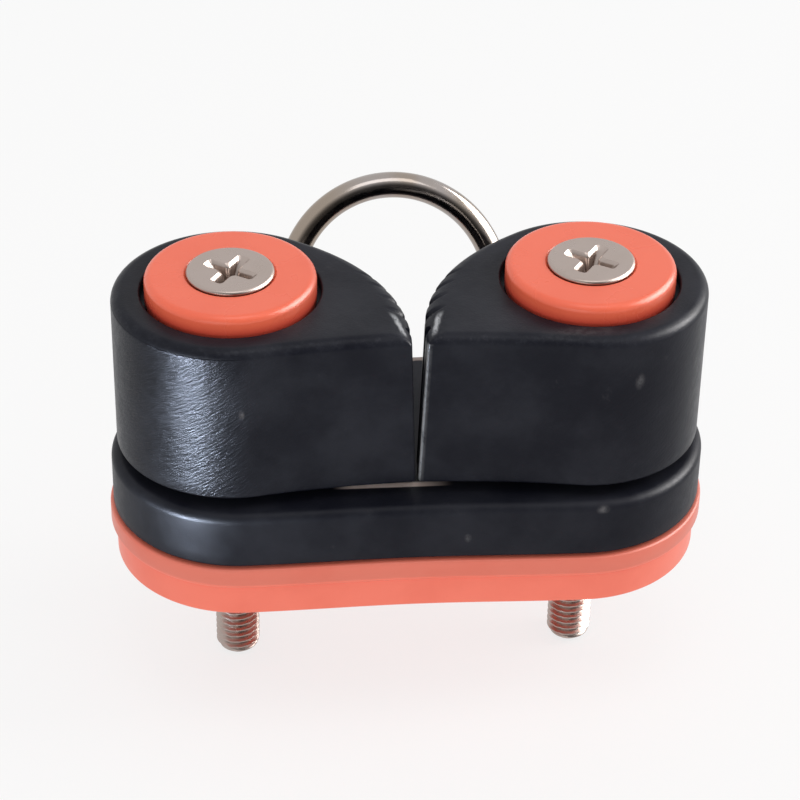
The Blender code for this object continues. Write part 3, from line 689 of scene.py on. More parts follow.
def base_mesh(sizes):
    """Base plate: a waisted plate with round ends, its tongue and its two hollow posts."""
    low = sizes.base_bottom + sizes.base_low_edge
    span = sizes.base_top - sizes.base_top_edge - sizes.base_bottom - sizes.base_low_edge
    rows = [(i, sizes.base_bottom + drop) for i, drop in edge_arc(sizes.base_low_edge, 4)[::-1]]
    rows += [(0.0, low + span * k / 4.0) for k in (1, 2, 3)]
    rows += [(i, sizes.base_top - drop) for i, drop in edge_arc(sizes.base_top_edge, 10)]
    rows += [(sizes.base_top_edge + 0.25 * mm, sizes.base_top)]
    rings = plate_rings(sizes, sizes.base_half_length, sizes.base_half_width,
                        sizes.tongue_reach, rows)
    mesh = new_mesh("base_plate_moulding", *skin(rings))
    posts = [post_mesh(sizes, side) for side, tag in SIDES]
    mesh = carve(mesh, [join_meshes("posts", posts)], 'UNION')
    tools = [stop_groove(sizes, side) for side, tag in SIDES]
    for side, tag in SIDES:
        tools += wire_grooves(sizes, side)
    mesh = carve(mesh, tools)
    return carve(mesh, [screw_holes(sizes, sizes.base_bottom - REACH_PAST,
                                    sizes.neck_top + REACH_PAST)])


def cam_walls(sizes):
    """Rows of a cam's outer wall, upwards: inset, height and how rubbed it is."""
    low = sizes.cam_bottom + sizes.cam_low_edge
    high = sizes.cam_top - sizes.cam_edge
    top = edge_arc(sizes.cam_edge, CAM_EDGE_STEPS)
    rubbed = np.sin(np.linspace(0.0, pi, len(top))) ** 2
    rows = [(sizes.cam_low_edge + 0.3 * mm, sizes.cam_bottom, 0.2)]
    rows += [(i, sizes.cam_bottom + drop, 0.35)
             for i, drop in edge_arc(sizes.cam_low_edge, 4)[::-1]]
    rows += [(0.0, low + (high - low) * k / 14.0, 0.0) for k in range(1, 14)]
    rows += [(i, sizes.cam_top - drop, share) for (i, drop), share in zip(top, rubbed)]
    rows += [(sizes.cam_edge + 0.25 * mm, sizes.cam_top, 0.1)]
    return rows


def cam_bore(sizes):
    """Rows of a cam's stepped bore, downwards: radius and height.

    Below the cap's recess come the upper race, the web, the spring's chamber and the
    lower race.
    """
    recess_floor = sizes.cap_top - sizes.flange - RECESS_PLAY
    upper_floor = sizes.upper_row - sizes.ball_radius - BALL_PLAY
    web_bottom = upper_floor - WEB
    ceiling = sizes.lower_row + sizes.ball_radius + BALL_PLAY
    rows = [(sizes.cap_recess + i, sizes.cam_top - drop)
            for i, drop in edge_arc(0.25 * mm, 4)[::-1]]
    rows += [(sizes.cap_recess, recess_floor), (sizes.race_radius, recess_floor),
             (sizes.race_radius, upper_floor), (sizes.web_radius, upper_floor),
             (sizes.web_radius, web_bottom), (sizes.chamber_radius, web_bottom),
             (sizes.chamber_radius, ceiling), (sizes.race_radius, ceiling),
             (sizes.race_radius, sizes.cam_bottom)]
    return rows


def mark_wear_and_highlights(mesh, sizes, side, rings, walls, plan):
    """Store where a cam is worn and where highlights are painted on it, as attributes of its
    points.

    rubbed holds the rubbed edges, whose paleness on the tips' upright edges is a painted
    highlight. Another attribute holds painted highlights: narrow bright facets on the top edge
    beside the tip, and the right tip's upright edge. wall is 1 on the wall and 0 on the rest,
    and wall_place holds the distance round the plan and the height.
    """
    grid = rings.shape[:2]
    travelled = distances(plan)
    tip = np.array([-side * (sizes.post_x - 0.5 * sizes.tip_gap), -sizes.tip_setback])
    from_tip = np.linalg.norm(plan - tip, axis=1)

    rubbed = np.zeros(grid)
    # On the tips' upright edges the rubbed paleness is a painted highlight.
    upright = 0.8 * np.exp(-(from_tip / (0.7 * mm)) ** 2)
    rubbed[:len(walls)] = np.array([share for i, z, share in walls])[:, None]
    rubbed[:len(walls)] = np.maximum(rubbed[:len(walls)], upright[None, :])

    # Painted highlights: narrow bright facets on the top edge beside each tip.
    painted_tip_highlight = np.zeros(grid)
    last = len(walls) - 1
    first = last - (CAM_EDGE_STEPS + 1)
    up_edge = np.linspace(0.0, 1.0, last - first)
    reach = smooth_step((from_tip - 0.7 * mm) / (0.6 * mm))
    reach = reach * smooth_step((4.8 * mm - from_tip) / (1.6 * mm))
    behind = smooth_step((plan[:, 1] + sizes.tip_setback - 0.2 * mm) / (0.5 * mm))
    middle = 0.46 + 0.085 * from_tip / mm
    across = smooth_step(1.35 - np.abs(up_edge[:, None] - middle[None, :]) / 0.11)
    painted_tip_highlight[first:last] = across * (reach * behind)[None, :]
    # On the right cam, a painted highlight along the tip's upright edge.
    if side > 0:
        beside = np.abs(travelled - travelled[np.argmin(from_tip)]) / (0.27 * mm)
        pale = 0.75 * np.exp(-beside ** 2)[None, :]
        painted_tip_highlight[:first + 4] = np.maximum(painted_tip_highlight[:first + 4], pale)

    wall = np.zeros(grid)
    upper = sizes.cam_top - 0.7 * sizes.cam_edge
    wall[:len(walls)] = np.array([z < upper for i, z, share in walls])[:, None]
    place = np.zeros(rings.shape)
    place[..., 0] = travelled[None, :]
    place[..., 1] = rings[..., 2]
    set_attribute(mesh, "painted_tip_highlight", 'FLOAT', painted_tip_highlight)
    set_attribute(mesh, "wall", 'FLOAT', wall)
    set_attribute(mesh, "rubbed", 'FLOAT', rubbed)
    set_attribute(mesh, "wall_place", 'FLOAT_VECTOR', place)


def cam_mesh(name, sizes, side):
    """A cam as one closed surface: up the outer wall, over the top and down the stepped bore.

    Every ring has the outline's own polar angles, so the bore's rings are true circles.
    """
    walls = cam_walls(sizes)
    outlines = [cam_outline(sizes, side, i, z) for i, z, share in walls]
    polar = np.arctan2(outlines[-1][:, 1], outlines[-1][:, 0])
    circle = np.stack([np.cos(polar), np.sin(polar)], axis=1)
    rings = [level_ring(plan, z) for plan, (i, z, share) in zip(outlines, walls)]
    rings += [level_ring(radius * circle, z) for radius, z in cam_bore(sizes)]
    rings = np.stack(rings)
    points, faces = skin(shifted(rings, side * sizes.post_x), closed=True)
    mesh = new_mesh(name, points, faces)
    mark_wear_and_highlights(mesh, sizes, side, rings, walls, outlines[len(outlines) // 2])
    return mesh


def set_attribute(mesh, name, kind, values):
    """Store one value or vector for each point of a mesh."""
    attribute = mesh.attributes.new(name, kind, 'POINT')
    field = "value" if kind == 'FLOAT' else "vector"
    attribute.data.foreach_set(field, np.ascontiguousarray(values, dtype=np.float32).ravel())


def lug_mesh(sizes, side):
    """Stop lug under a cam, a turned pin with a rounded lower end."""
    rest = sizes.lug_angle if side < 0 else pi - sizes.lug_angle
    profile = [(sizes.lug_radius - i, sizes.lug_bottom + drop)
               for i, drop in edge_arc(0.2 * mm, 4)[::-1]]
    profile += [(sizes.lug_radius, sizes.cam_bottom)]
    rings = turned(profile, 40)
    x = side * sizes.post_x + sizes.lug_orbit * cos(rest)
    return new_mesh("stop_lug", *skin(shifted(rings, x, sizes.lug_orbit * sin(rest))))


def cap_mesh(name, sizes, side):
    """A cap, turned: a flange with a rounded rim, a hub down to the post and a countersink."""
    hub_bottom = sizes.post_top + sizes.seat_gap
    hub_ceiling = sizes.neck_top + sizes.seat_gap
    hub_bore = sizes.neck_radius + sizes.seat_gap
    flange_bottom = sizes.cap_top - sizes.flange
    sink = sizes.head_radius + sizes.head_rim - (sizes.head_top - sizes.cap_top)
    sink += sizes.sink_gap / cos(0.25 * pi)
    profile = [(sizes.hole_radius, hub_ceiling), (hub_bore, hub_ceiling),
               (hub_bore, hub_bottom), (sizes.post_radius, hub_bottom),
               (sizes.post_radius, flange_bottom)]
    profile += [(sizes.cap_radius - i, flange_bottom + drop)
                for i, drop in edge_arc(0.2 * mm, 4)[::-1]]
    profile += [(sizes.cap_radius - i, sizes.cap_top - drop)
                for i, drop in edge_arc(sizes.cap_edge, 14)]
    profile += [(sizes.cap_radius - sizes.cap_edge - 0.3 * mm, sizes.cap_top),
                (sink + 0.12 * mm, sizes.cap_top), (sink, sizes.cap_top - 0.08 * mm),
                (sizes.hole_radius, sizes.cap_top - (sink - sizes.hole_radius))]
    rings = turned(profile, 160)
    return new_mesh(name, *skin(shifted(rings, side * sizes.post_x), closed=True))


def turned_plan(plan, turn):
    """A plan's points turned counter-clockwise by an angle."""
    c, s = cos(turn), sin(turn)
    return plan @ np.array([[c, s], [-s, c]])


def cross_plan(reach, width, fillet):
    """Plan of a cross: four wings with softened ends and filleted inner corners."""
    half = 0.5 * width
    outer = rounded((reach, -half, 0.0), (reach, half, 0.0), (half, half, 0.0),
                    0.25 * width, 3)[:, :2]
    inner = rounded((reach, half, 0.0), (half, half, 0.0), (half, reach, 0.0), fillet, 5)
    mirrored = (outer * np.array([1.0, -1.0]))[::-1]
    quarter = np.concatenate([mirrored, outer, inner[:, :2]])
    return np.concatenate([turned_plan(quarter, 0.5 * pi * k) for k in range(4)])


def cross_tool(sizes, side):
    """Cutter for a cross recess: a cross whose wings taper downwards to a small point."""
    reach, width, depth = sizes.recess_reach, sizes.recess_width, sizes.recess_depth
    levels = [
        (0.10 * reach, 0.16 * width, 0.02 * reach, sizes.head_top - 1.15 * depth),
        (0.36 * reach, 0.55 * width, 0.08 * reach, sizes.head_top - depth),
        (0.90 * reach, 0.86 * width, 0.16 * reach, sizes.head_top - 0.20 * depth),
        (0.96 * reach, 0.98 * width, 0.18 * reach, sizes.head_top - 0.12 * depth),
        (1.08 * reach, 1.42 * width, 0.22 * reach, sizes.head_top + 0.01 * depth),
    ]
    rings = np.stack([level_ring(cross_plan(r, w, fillet), z) for r, w, fillet, z in levels])
    rings[..., :2] = turned_plan(rings[..., :2], sizes.recess_turn)
    return new_mesh("cross", *skin(shifted(rings, side * sizes.post_x)))


def thread_rings(sizes, top, around):
    """Rings of a thread, from the screw's lower end up to a level.

    The radius follows a rounded ridge whose phase is the height in pitches less the turn.
    The ridge rises out of a taper at the lower end and fades out at the upper one.
    """
    turn = np.linspace(0.0, 2.0 * pi, around, endpoint=False)
    rise = sizes.thread_pitch / 14.0
    height = np.arange(sizes.screw_tip, top - 0.5 * rise, rise)
    phase = height[:, None] / sizes.thread_pitch - turn[None, :] / (2.0 * pi)
    ridge = np.abs(2.0 * (phase - np.floor(phase)) - 1.0)
    ridge = np.clip(1.25 * ridge - 0.05, 0.0, 1.0)
    start = smooth_step((height - sizes.screw_tip) / (1.2 * mm))[:, None]
    fade = smooth_step((top - height) / (1.5 * mm))[:, None]
    taper = 0.45 * mm * (1.0 - smooth_step((height - sizes.screw_tip) / (0.6 * mm)))[:, None]
    radius = sizes.screw_radius - sizes.thread_depth * (1.0 - ridge * start) * fade - taper
    level = np.broadcast_to(height[:, None], radius.shape)
    return np.stack([radius * np.cos(turn), radius * np.sin(turn), level], axis=-1)


def screw_mesh(name, sizes, side):
    """A countersunk screw: threaded shank, cone, head with a softened rim and cross recess."""
    around = 96
    top = sizes.screw_tip + sizes.thread_length
    cone_top = sizes.head_top - sizes.head_rim
    cone_low = cone_top - (sizes.head_radius - sizes.screw_radius)
    soft = 0.06 * mm
    profile = [(sizes.screw_radius, top), (sizes.screw_radius, cone_low),
               (sizes.head_radius - soft, cone_top - soft), (sizes.head_radius, cone_top + soft)]
    profile += [(sizes.head_radius - i, sizes.head_top - drop)
                for i, drop in edge_arc(0.36 * mm, 8)]
    profile += [(sizes.head_radius - 0.5 * mm, sizes.head_top)]
    rings = np.concatenate([thread_rings(sizes, top, around), turned(profile, around)])
    mesh = new_mesh(name, *skin(shifted(rings, side * sizes.post_x)))
    return carve(mesh, [cross_tool(sizes, side)], sharp=24.0)


def ring_path(sizes):
    """Centreline of the ring's wire: toe, foot, leg, arch and back, evenly spaced.

    Straight stretches meet in arcs, and the arch is half a circle in the leaning plane.
    """
    level = sizes.base_bottom + sizes.wire_radius
    lean = np.array([0.0, sin(sizes.ring_lean), cos(sizes.ring_lean)])
    corner_y = sizes.leg_setback - (sizes.base_top - level) * tan(sizes.ring_lean)
    toe_y = corner_y - sizes.foot_length
    r = sizes.ring_radius
    halves = []
    for side in (-1, 1):
        toe_end = np.array([side * (r - sizes.toe_length), toe_y, level])
        toe_corner = np.array([side * r, toe_y, level])
        foot_corner = np.array([side * r, corner_y, level])
        leg_top = np.array([side * r, sizes.leg_setback, sizes.base_top]) + lean * sizes.leg_height
        first = rounded(toe_end, toe_corner, foot_corner, sizes.toe_bend, 14)
        second = rounded(toe_corner, foot_corner, leg_top, sizes.foot_bend, 12)
        halves.append(np.concatenate([toe_end[None], first, second, leg_top[None]]))
    turn = np.linspace(0.0, pi, 90)[1:-1, None]
    centre = 0.5 * (halves[0][-1] + halves[1][-1])
    arch = centre + np.array([-r, 0.0, 0.0]) * np.cos(turn) + lean * r * np.sin(turn)
    return resampled(np.concatenate([halves[0], arch, halves[1][::-1]]), 260)


def ring_mesh(sizes):
    """The wire ring, a round wire carried along its centreline.

    Its attribute wall_place holds the distance along the wire and round it.
    """
    normal = np.array([0.0, cos(sizes.ring_lean), -sin(sizes.ring_lean)])
    rings = swept(ring_path(sizes), sizes.wire_radius, 48, normal)
    mesh = new_mesh("fairlead_wire", *skin(rings))
    place = np.zeros(rings.shape)
    place[..., 0] = np.linspace(0.0, WIRE_LENGTH, len(rings))[:, None]
    place[..., 1] = np.linspace(0.0, 2.0 * pi * sizes.wire_radius, rings.shape[1])[None, :]
    ends = np.zeros((2, 3))
    set_attribute(mesh, "wall_place", 'FLOAT_VECTOR', np.concatenate([place.reshape(-1, 3), ends]))
    return mesh


def spring_path(sizes, side):
    """Centreline of a torsion spring: inner leg, rising coil and outer leg."""
    start = sizes.spring_start if side < 0 else pi - sizes.spring_start
    hand = 1.0 if side < 0 else -1.0
    turns = (sizes.coil_top - sizes.coil_bottom) / sizes.coil_pitch
    end = start + hand * 2.0 * pi * turns
    bend = sizes.spring_bend / sizes.coil_radius
    curl = np.linspace(0.0, 0.5 * pi, 7)

    def leg(turn, reach, side_step, height):
        ahead = np.array([cos(turn), sin(turn)])
        across = np.array([-sin(turn), cos(turn)]) * hand
        plan = reach[:, None] * ahead + side_step[:, None] * across
        return np.column_stack([plan, np.full(len(plan), height)])

    inner = sizes.post_radius - 0.9 * mm
    reach = np.concatenate([[inner], sizes.coil_radius - sizes.spring_bend * (1.0 - np.sin(curl))])
    step = np.concatenate([[0.0], sizes.spring_bend * (1.0 - np.cos(curl))])
    first = leg(start, reach, step, sizes.coil_bottom)
    share = np.linspace(0.0, 1.0, 240)[1:]
    turn = start + hand * (bend + (2.0 * pi * turns - bend) * share)
    coil = np.stack([sizes.coil_radius * np.cos(turn), sizes.coil_radius * np.sin(turn),
                     sizes.coil_bottom + (sizes.coil_top - sizes.coil_bottom) * share], axis=1)
    reach = sizes.coil_radius + sizes.spring_bend * (1.0 - np.cos(curl[1:]))
    step = sizes.spring_bend * np.sin(curl[1:])
    reach = np.concatenate([reach, [sizes.chamber_radius + 1.6 * mm]])
    step = np.concatenate([step, [sizes.spring_bend]])
    last = leg(end, reach, step, sizes.coil_top)
    return np.concatenate([first, coil, last])


def spring_mesh(name, sizes, side):
    """A torsion spring, a round wire carried along its coil."""
    rings = swept(spring_path(sizes, side), sizes.spring_wire, 16, np.array([0.0, 0.0, 1.0]))
    return new_mesh(name, *skin(shifted(rings, side * sizes.post_x)))


def ball_mesh(name, sizes, side, turn, height):
    """One ball: circles of latitude between two poles."""
    latitude = np.linspace(-0.5 * pi, 0.5 * pi, 19)[1:-1]
    profile = sizes.ball_radius * np.stack([np.cos(latitude), np.sin(latitude)], axis=1)
    rings = turned(profile, 32)
    x = side * sizes.post_x + sizes.ball_pitch * cos(turn)
    points, faces = skin(shifted(rings, x, sizes.ball_pitch * sin(turn), height))
    for pole, sign in ((-2, -1.0), (-1, 1.0)):
        points[pole, 2] = height + sign * sizes.ball_radius
    return new_mesh(name, points, faces, 80.0)


# Materials


def put(tree, socket, value):
    """Set a socket to a number, a colour or another node's result."""
    if isinstance(value, bpy.types.NodeSocket):
        tree.links.new(value, socket)
    elif hasattr(value, "__len__") and len(value) == 3 and socket.type == 'RGBA':
        socket.default_value = (*value, 1.0)
    else:
        socket.default_value = value


def combined(tree, operation, first, second=0.0):
    """Two values through one Math node."""
    node = tree.nodes.new("ShaderNodeMath")
    node.operation = operation
    put(tree, node.inputs[0], first)
    put(tree, node.inputs[1], second)
    return node.outputs["Value"]


def remapped(tree, value, low, high, to_low=0.0, to_high=1.0):
    """A value's span carried smoothly to another span and held at its ends."""
    node = tree.nodes.new("ShaderNodeMapRange")
    node.interpolation_type = 'SMOOTHSTEP'
    values = {"Value": value, "From Min": low, "From Max": high, "To Min": to_low,
              "To Max": to_high}
    for name, setting in values.items():
        put(tree, node.inputs[name], setting)
    return node.outputs["Result"]


class Finish:
    """A material that is built up node by node round its Principled shader."""

    def __init__(self, name):
        self.material = bpy.data.materials.new(name)
        self.material.use_nodes = True
        self.tree = self.material.node_tree
        self.shader = self.tree.nodes["Principled BSDF"]

    def shade(self, **values):
        """Set sockets of the Principled shader by name."""
        for name, value in values.items():
            put(self.tree, self.shader.inputs[name.replace("_", " ")], value)

    def place(self, scale=(1.0, 1.0, 1.0), turn=(0.0, 0.0, 0.0), shift=(0.0, 0.0, 0.0),
              source=None):
        """Object coordinates, or another vector, through a Mapping node."""
        if source is None:
            source = self.tree.nodes.new("ShaderNodeTexCoord").outputs["Object"]
        node = self.tree.nodes.new("ShaderNodeMapping")
        put(self.tree, node.inputs["Vector"], source)
        node.inputs["Scale"].default_value = scale
        node.inputs["Rotation"].default_value = turn
        node.inputs["Location"].default_value = shift
        return node.outputs["Vector"]

    def attribute(self, name, output="Fac"):
        """A point attribute of the piece."""
        node = self.tree.nodes.new("ShaderNodeAttribute")
        node.attribute_name = name
        return node.outputs[output]

    def noise(self, vector, scale, detail=4.0, roughness=0.55, distortion=0.0):
        """Fractal noise about one half."""
        node = self.tree.nodes.new("ShaderNodeTexNoise")
        put(self.tree, node.inputs["Vector"], vector)
        node.inputs["Scale"].default_value = scale
        node.inputs["Detail"].default_value = detail
        node.inputs["Roughness"].default_value = roughness
        node.inputs["Distortion"].default_value = distortion
        return node.outputs["Fac"]

    def remap(self, value, low, high, to_low=0.0, to_high=1.0):
        """A value's span carried smoothly to another span and held at its ends."""
        return remapped(self.tree, value, low, high, to_low, to_high)

    def math(self, operation, first, second=0.0):
        """Two values through one Math operation."""
        return combined(self.tree, operation, first, second)

    def times(self, first, second):
        """Two values multiplied."""
        return combined(self.tree, 'MULTIPLY', first, second)

    def mix(self, factor, first, second):
        """Two colours mixed by a factor."""
        node = self.tree.nodes.new("ShaderNodeMix")
        node.data_type = 'RGBA'
        put(self.tree, node.inputs[0], factor)
        put(self.tree, node.inputs[6], first)
        put(self.tree, node.inputs[7], second)
        return node.outputs[2]

    def axes(self, vector=None):
        """The separate X, Y and Z of a vector, or of the Object coordinates."""
        if vector is None:
            vector = self.tree.nodes.new("ShaderNodeTexCoord").outputs["Object"]
        node = self.tree.nodes.new("ShaderNodeSeparateXYZ")
        put(self.tree, node.inputs[0], vector)
        return node.outputs[0], node.outputs[1], node.outputs[2]

    def spot(self, centre, radii):
        """A soft patch round a point: 1 at its centre and 0 at its radii."""
        scale = tuple(1.0 / r for r in radii)
        shift = tuple(-c / r for c, r in zip(centre, radii))
        node = self.tree.nodes.new("ShaderNodeVectorMath")
        node.operation = 'LENGTH'
        put(self.tree, node.inputs[0], self.place(scale, (0.0, 0.0, 0.0), shift))
        return self.remap(node.outputs["Value"], 1.0, 0.0)

    def bump(self, height, distance, strength=1.0, before=None):
        """A bump from a height, on top of an earlier bump if there is one."""
        node = self.tree.nodes.new("ShaderNodeBump")
        put(self.tree, node.inputs["Height"], height)
        node.inputs["Distance"].default_value = distance
        node.inputs["Strength"].default_value = strength
        if before is not None:
            put(self.tree, node.inputs["Normal"], before)
        return node.outputs["Normal"]


# How far rubbed edges pale and smooth the black moulding (on the tips' upright edges the
# paleness is a painted highlight), how far the painted tip highlights smooth it, how strong
# the painted highlight on the base's floor behind the cams is, and the slant of the strokes in
# degrees
EDGE_PALE = 0.16
EDGE_SMOOTH = 0.12
TIP_HIGHLIGHT_SMOOTH = 0.10
REAR_HIGHLIGHT = 0.24
STROKE_SLANT = -34.0

# Pale scuffs on the cams and the base: centre and reach in metres, and strength
CAM_SCUFFS = (
    ((0.0228, -0.0118, 0.0272), (0.0007, 0.0020, 0.0013), 0.40),
    ((0.0170, -0.0105, 0.0322), (0.0060, 0.0014, 0.0010), 0.35),
    ((-0.0184, -0.0127, 0.0250), (0.0004, 0.0020, 0.0008), 0.70),
)
BASE_SCUFFS = (
    ((0.0196, -0.0136, 0.0122), (0.0009, 0.0020, 0.0006), 0.65),
    ((0.0053, -0.0138, 0.0090), (0.0005, 0.0020, 0.0007), 0.50),
)


def dusting(finish, here, broken, scuffs):
    """Faint clouds of dust and the scuffs, each broken up by a noise."""
    dust = finish.remap(finish.noise(here, 260.0, 6.0, 0.72), 0.62, 0.80, 0.0, 0.12)
    for centre, radii, strength in scuffs:
        patch = finish.times(finish.spot(centre, radii),
                             finish.remap(broken, 0.35, 0.62, 0.25, 1.0))
        dust = finish.math('MAXIMUM', dust, finish.times(patch, strength))
    return dust


def painted_floor_light(finish, floor_light):
    """Painted light on the base's top: a thin pale strip under the tips painted as lit, ending
    behind in painted shade, and a painted highlight at its rear.
    """
    x, y, z = finish.axes()
    soft = 0.1 * mm
    # Painted shade behind the lit strip, which also fades out towards the right.
    behind = finish.remap(y, floor_light["back"], floor_light["back"] - 0.4 * mm)
    fading = finish.times(behind, finish.remap(x, floor_light["right"], 0.0))
    front = finish.times(finish.remap(y, floor_light["front"] - soft, floor_light["front"] + soft), fading)
    # Painted highlight on the floor at the rear.
    rear = finish.times(finish.remap(y, floor_light["rear"] - soft, floor_light["rear"] + soft), REAR_HIGHLIGHT)
    level = finish.remap(z, floor_light["level"] - 0.3 * mm, floor_light["level"] - 0.02 * mm)
    aside = finish.remap(finish.math('ABSOLUTE', x), floor_light["half"], floor_light["half"] - 2.5 * mm)
    return finish.times(finish.times(finish.math('MAXIMUM', front, rear), level), aside)


def tip_highlight_streaks(finish):
    """Painted highlights beside a cam's tip, broken up by streaks."""
    streaks = finish.noise(finish.place((1800.0, 700.0, 900.0)), 1.0, 5.0, 0.75)
    return finish.times(finish.attribute("painted_tip_highlight"),
                        finish.remap(streaks, 0.34, 0.56, 0.30, 1.0))


def wall_strokes(finish):
    """Height of the slanted strokes on the cams' walls, which are deepest on the far left."""
    source = finish.attribute("wall_place", "Vector")
    slant = finish.place(turn=(0.0, 0.0, radians(STROKE_SLANT)), source=source)
    stretched = finish.place((700.0, 3600.0, 1.0), source=slant)
    height = finish.times(finish.noise(stretched, 1.0, 3.0, 0.6, 0.3), finish.attribute("wall"))
    leftwards = finish.remap(finish.axes()[0], -8.0 * mm, -20.0 * mm, 0.2, 1.0)
    return finish.times(height, leftwards)


def black_finish(name, colours, scuffs, gripping, rough, floor_light=None):
    """Glass-filled black moulding: fine grain, cloudy sheen, rubbed edges, dust and scuffs.

    The rubbed edges carry a painted highlight on the tips' upright edges. The base also has
    painted light on its floor, and the gripping cams painted highlights on the facets beside
    their tips, and the strokes on their walls.
    """
    finish = Finish(name)
    here = finish.place()
    cloud = finish.noise(here, 95.0, 5.0, 0.6)
    mottle = finish.noise(here, 900.0, 4.0, 0.6)
    grain = finish.noise(here, 5200.0, 3.0, 0.6)
    broken = finish.noise(here, 1400.0, 5.0, 0.7)
    edge = finish.times(finish.attribute("rubbed"), finish.remap(broken, 0.45, 0.72))
    tone = finish.mix(finish.remap(cloud, 0.35, 0.70, 0.0, 0.10), colours.black, colours.rubbed)
    # Rubbed edges are paler; on the tips' upright edges this is a painted highlight.
    tone = finish.mix(finish.times(edge, EDGE_PALE), tone, colours.rubbed)
    tone = finish.mix(dusting(finish, here, broken, scuffs), tone, colours.dust)
    rough = finish.remap(cloud, 0.30, 0.72, rough - 0.05, rough + 0.05)
    rough = finish.math('ADD', rough, finish.remap(mottle, 0.3, 0.7, -0.03, 0.03))
    rough = finish.math('SUBTRACT', rough, finish.times(edge, EDGE_SMOOTH))
    normal = finish.bump(grain, 0.03 * mm, 0.5)
    normal = finish.bump(mottle, 0.05 * mm, 0.35, normal)
    # Painted light on the base's floor under the tips, and a painted highlight at its rear.
    if floor_light is not None:
        tone = finish.mix(painted_floor_light(finish, floor_light), tone, colours.floor_light)
    if gripping:
        # Painted highlights on the facets beside the tips, which are made a little smoother too.
        tip_highlight = tip_highlight_streaks(finish)
        tone = finish.mix(tip_highlight, tone, colours.tip_highlight)
        rough = finish.math('SUBTRACT', rough, finish.times(tip_highlight, TIP_HIGHLIGHT_SMOOTH))
        normal = finish.bump(wall_strokes(finish), 0.08 * mm, 1.0, normal)
    finish.shade(Base_Color=tone, Roughness=rough, Normal=normal, Specular_IOR_Level=0.10)
    return finish.material


def orange_finish(name, main, deep, gloss, rough, other, low, high):
    """Orange moulding: satin, a little uneven in tone, with a faint orange-peel surface.

    Its main tone passes into another one from a low to a high level. That other tone is painted
    shade: on the pad's lip under the base, and on the caps' lower rim.
    """
    finish = Finish(name)
    here = finish.place()
    cloud = finish.noise(here, 130.0, 4.0, 0.55)
    speck = finish.remap(finish.noise(here, 1700.0, 5.0, 0.7), 0.66, 0.80, 0.0, 0.35)
    # Painted shade: the other tone darkens the pad's lip and the caps' lower rim.
    tone = finish.mix(finish.remap(finish.axes()[2], low, high), main, other)
    tone = finish.mix(finish.remap(cloud, 0.35, 0.70, 0.0, 0.16), tone, deep)
    tone = finish.mix(speck, tone, deep)
    rough = finish.remap(cloud, 0.3, 0.7, rough - 0.04, rough + 0.04)
    normal = finish.bump(finish.noise(here, 800.0, 3.0, 0.5), 0.05 * mm, 0.35)
    normal = finish.bump(finish.noise(here, 4200.0, 2.0, 0.5), 0.02 * mm, 0.3, normal)
    finish.shade(Base_Color=tone, Roughness=rough, Normal=normal, Specular_IOR_Level=gloss)
    return finish.material


def steel_finish(name, bright, tarnish_and_reflection, roughness, warm, drawn):
    """Stainless steel: fine drawn or rubbed lines, a warm tint in places and small marks.

    On drawn wire the left side is also painted warmer and darker, as a painted reflection.
    """
    finish = Finish(name)
    here = finish.place()
    cloud = finish.noise(here, 120.0, 4.0, 0.6)
    fine = finish.noise(here, 6500.0, 2.0, 0.5)
    tint_and_reflection = finish.remap(cloud, 0.40, 0.68, 0.0, warm)
    if drawn:
        # Painted reflection: the drawn wire's left side is painted warmer and darker.
        left = finish.remap(finish.axes()[0], -2.0 * mm, -8.0 * mm, 0.0, 0.5)
        tint_and_reflection = finish.math('MAXIMUM', tint_and_reflection, left)
    tone = finish.mix(tint_and_reflection, bright, tarnish_and_reflection)
    rough = finish.remap(finish.noise(here, 700.0, 4.0, 0.6), 0.3, 0.7, roughness - 0.04,
                         roughness + 0.06)
    normal = finish.bump(fine, 0.01 * mm, 0.25)
    if drawn:
        lines = finish.place((160.0, 9000.0, 1.0), source=finish.attribute("wall_place", "Vector"))
        normal = finish.bump(finish.noise(lines, 1.0, 2.0, 0.5), 0.01 * mm, 0.25, normal)
    finish.shade(Base_Color=tone, Metallic=1.0, Roughness=rough, Normal=normal)
    return finish.material


def ball_finish(name, colours):
    """Acetal balls: off-white, smooth, with the faintest mottle."""
    finish = Finish(name)
    here = finish.place()
    shade = tuple(0.86 * c for c in colours.acetal)
    tone = finish.mix(finish.remap(finish.noise(here, 900.0), 0.35, 0.70, 0.0, 0.5),
                      colours.acetal, shade)
    rough = finish.remap(finish.noise(here, 2500.0, 3.0), 0.3, 0.7, 0.22, 0.34)
    normal = finish.bump(finish.noise(here, 5000.0, 2.0), 0.01 * mm, 0.2)
    finish.shade(Base_Color=tone, Roughness=rough, Normal=normal)
    return finish.material


# Operators


class CLEAT_OT_riser_pad(Operator):
    """Mould the orange riser pad under the base"""

    bl_idname = "cleat.riser_pad"
    bl_label = "Riser pad"

    def execute(self, context):
        sizes, colours = context.scene.cleat_sizes, context.scene.cleat_colours
        lip = sizes.pad_top - sizes.pad_lip
        # The lip is painted darker than the skirt, as painted shade under the base.
        finish = orange_finish("pad_moulded", colours.pad_orange, colours.deep_orange, 0.5, 0.42,
                               colours.pad_lip_shade, lip - 0.1 * mm, lip + 0.3 * mm)
        finish_piece("pad_moulding", pad_mesh(sizes), "base", ["riser_pad"],
                     finish)
        return {'FINISHED'}


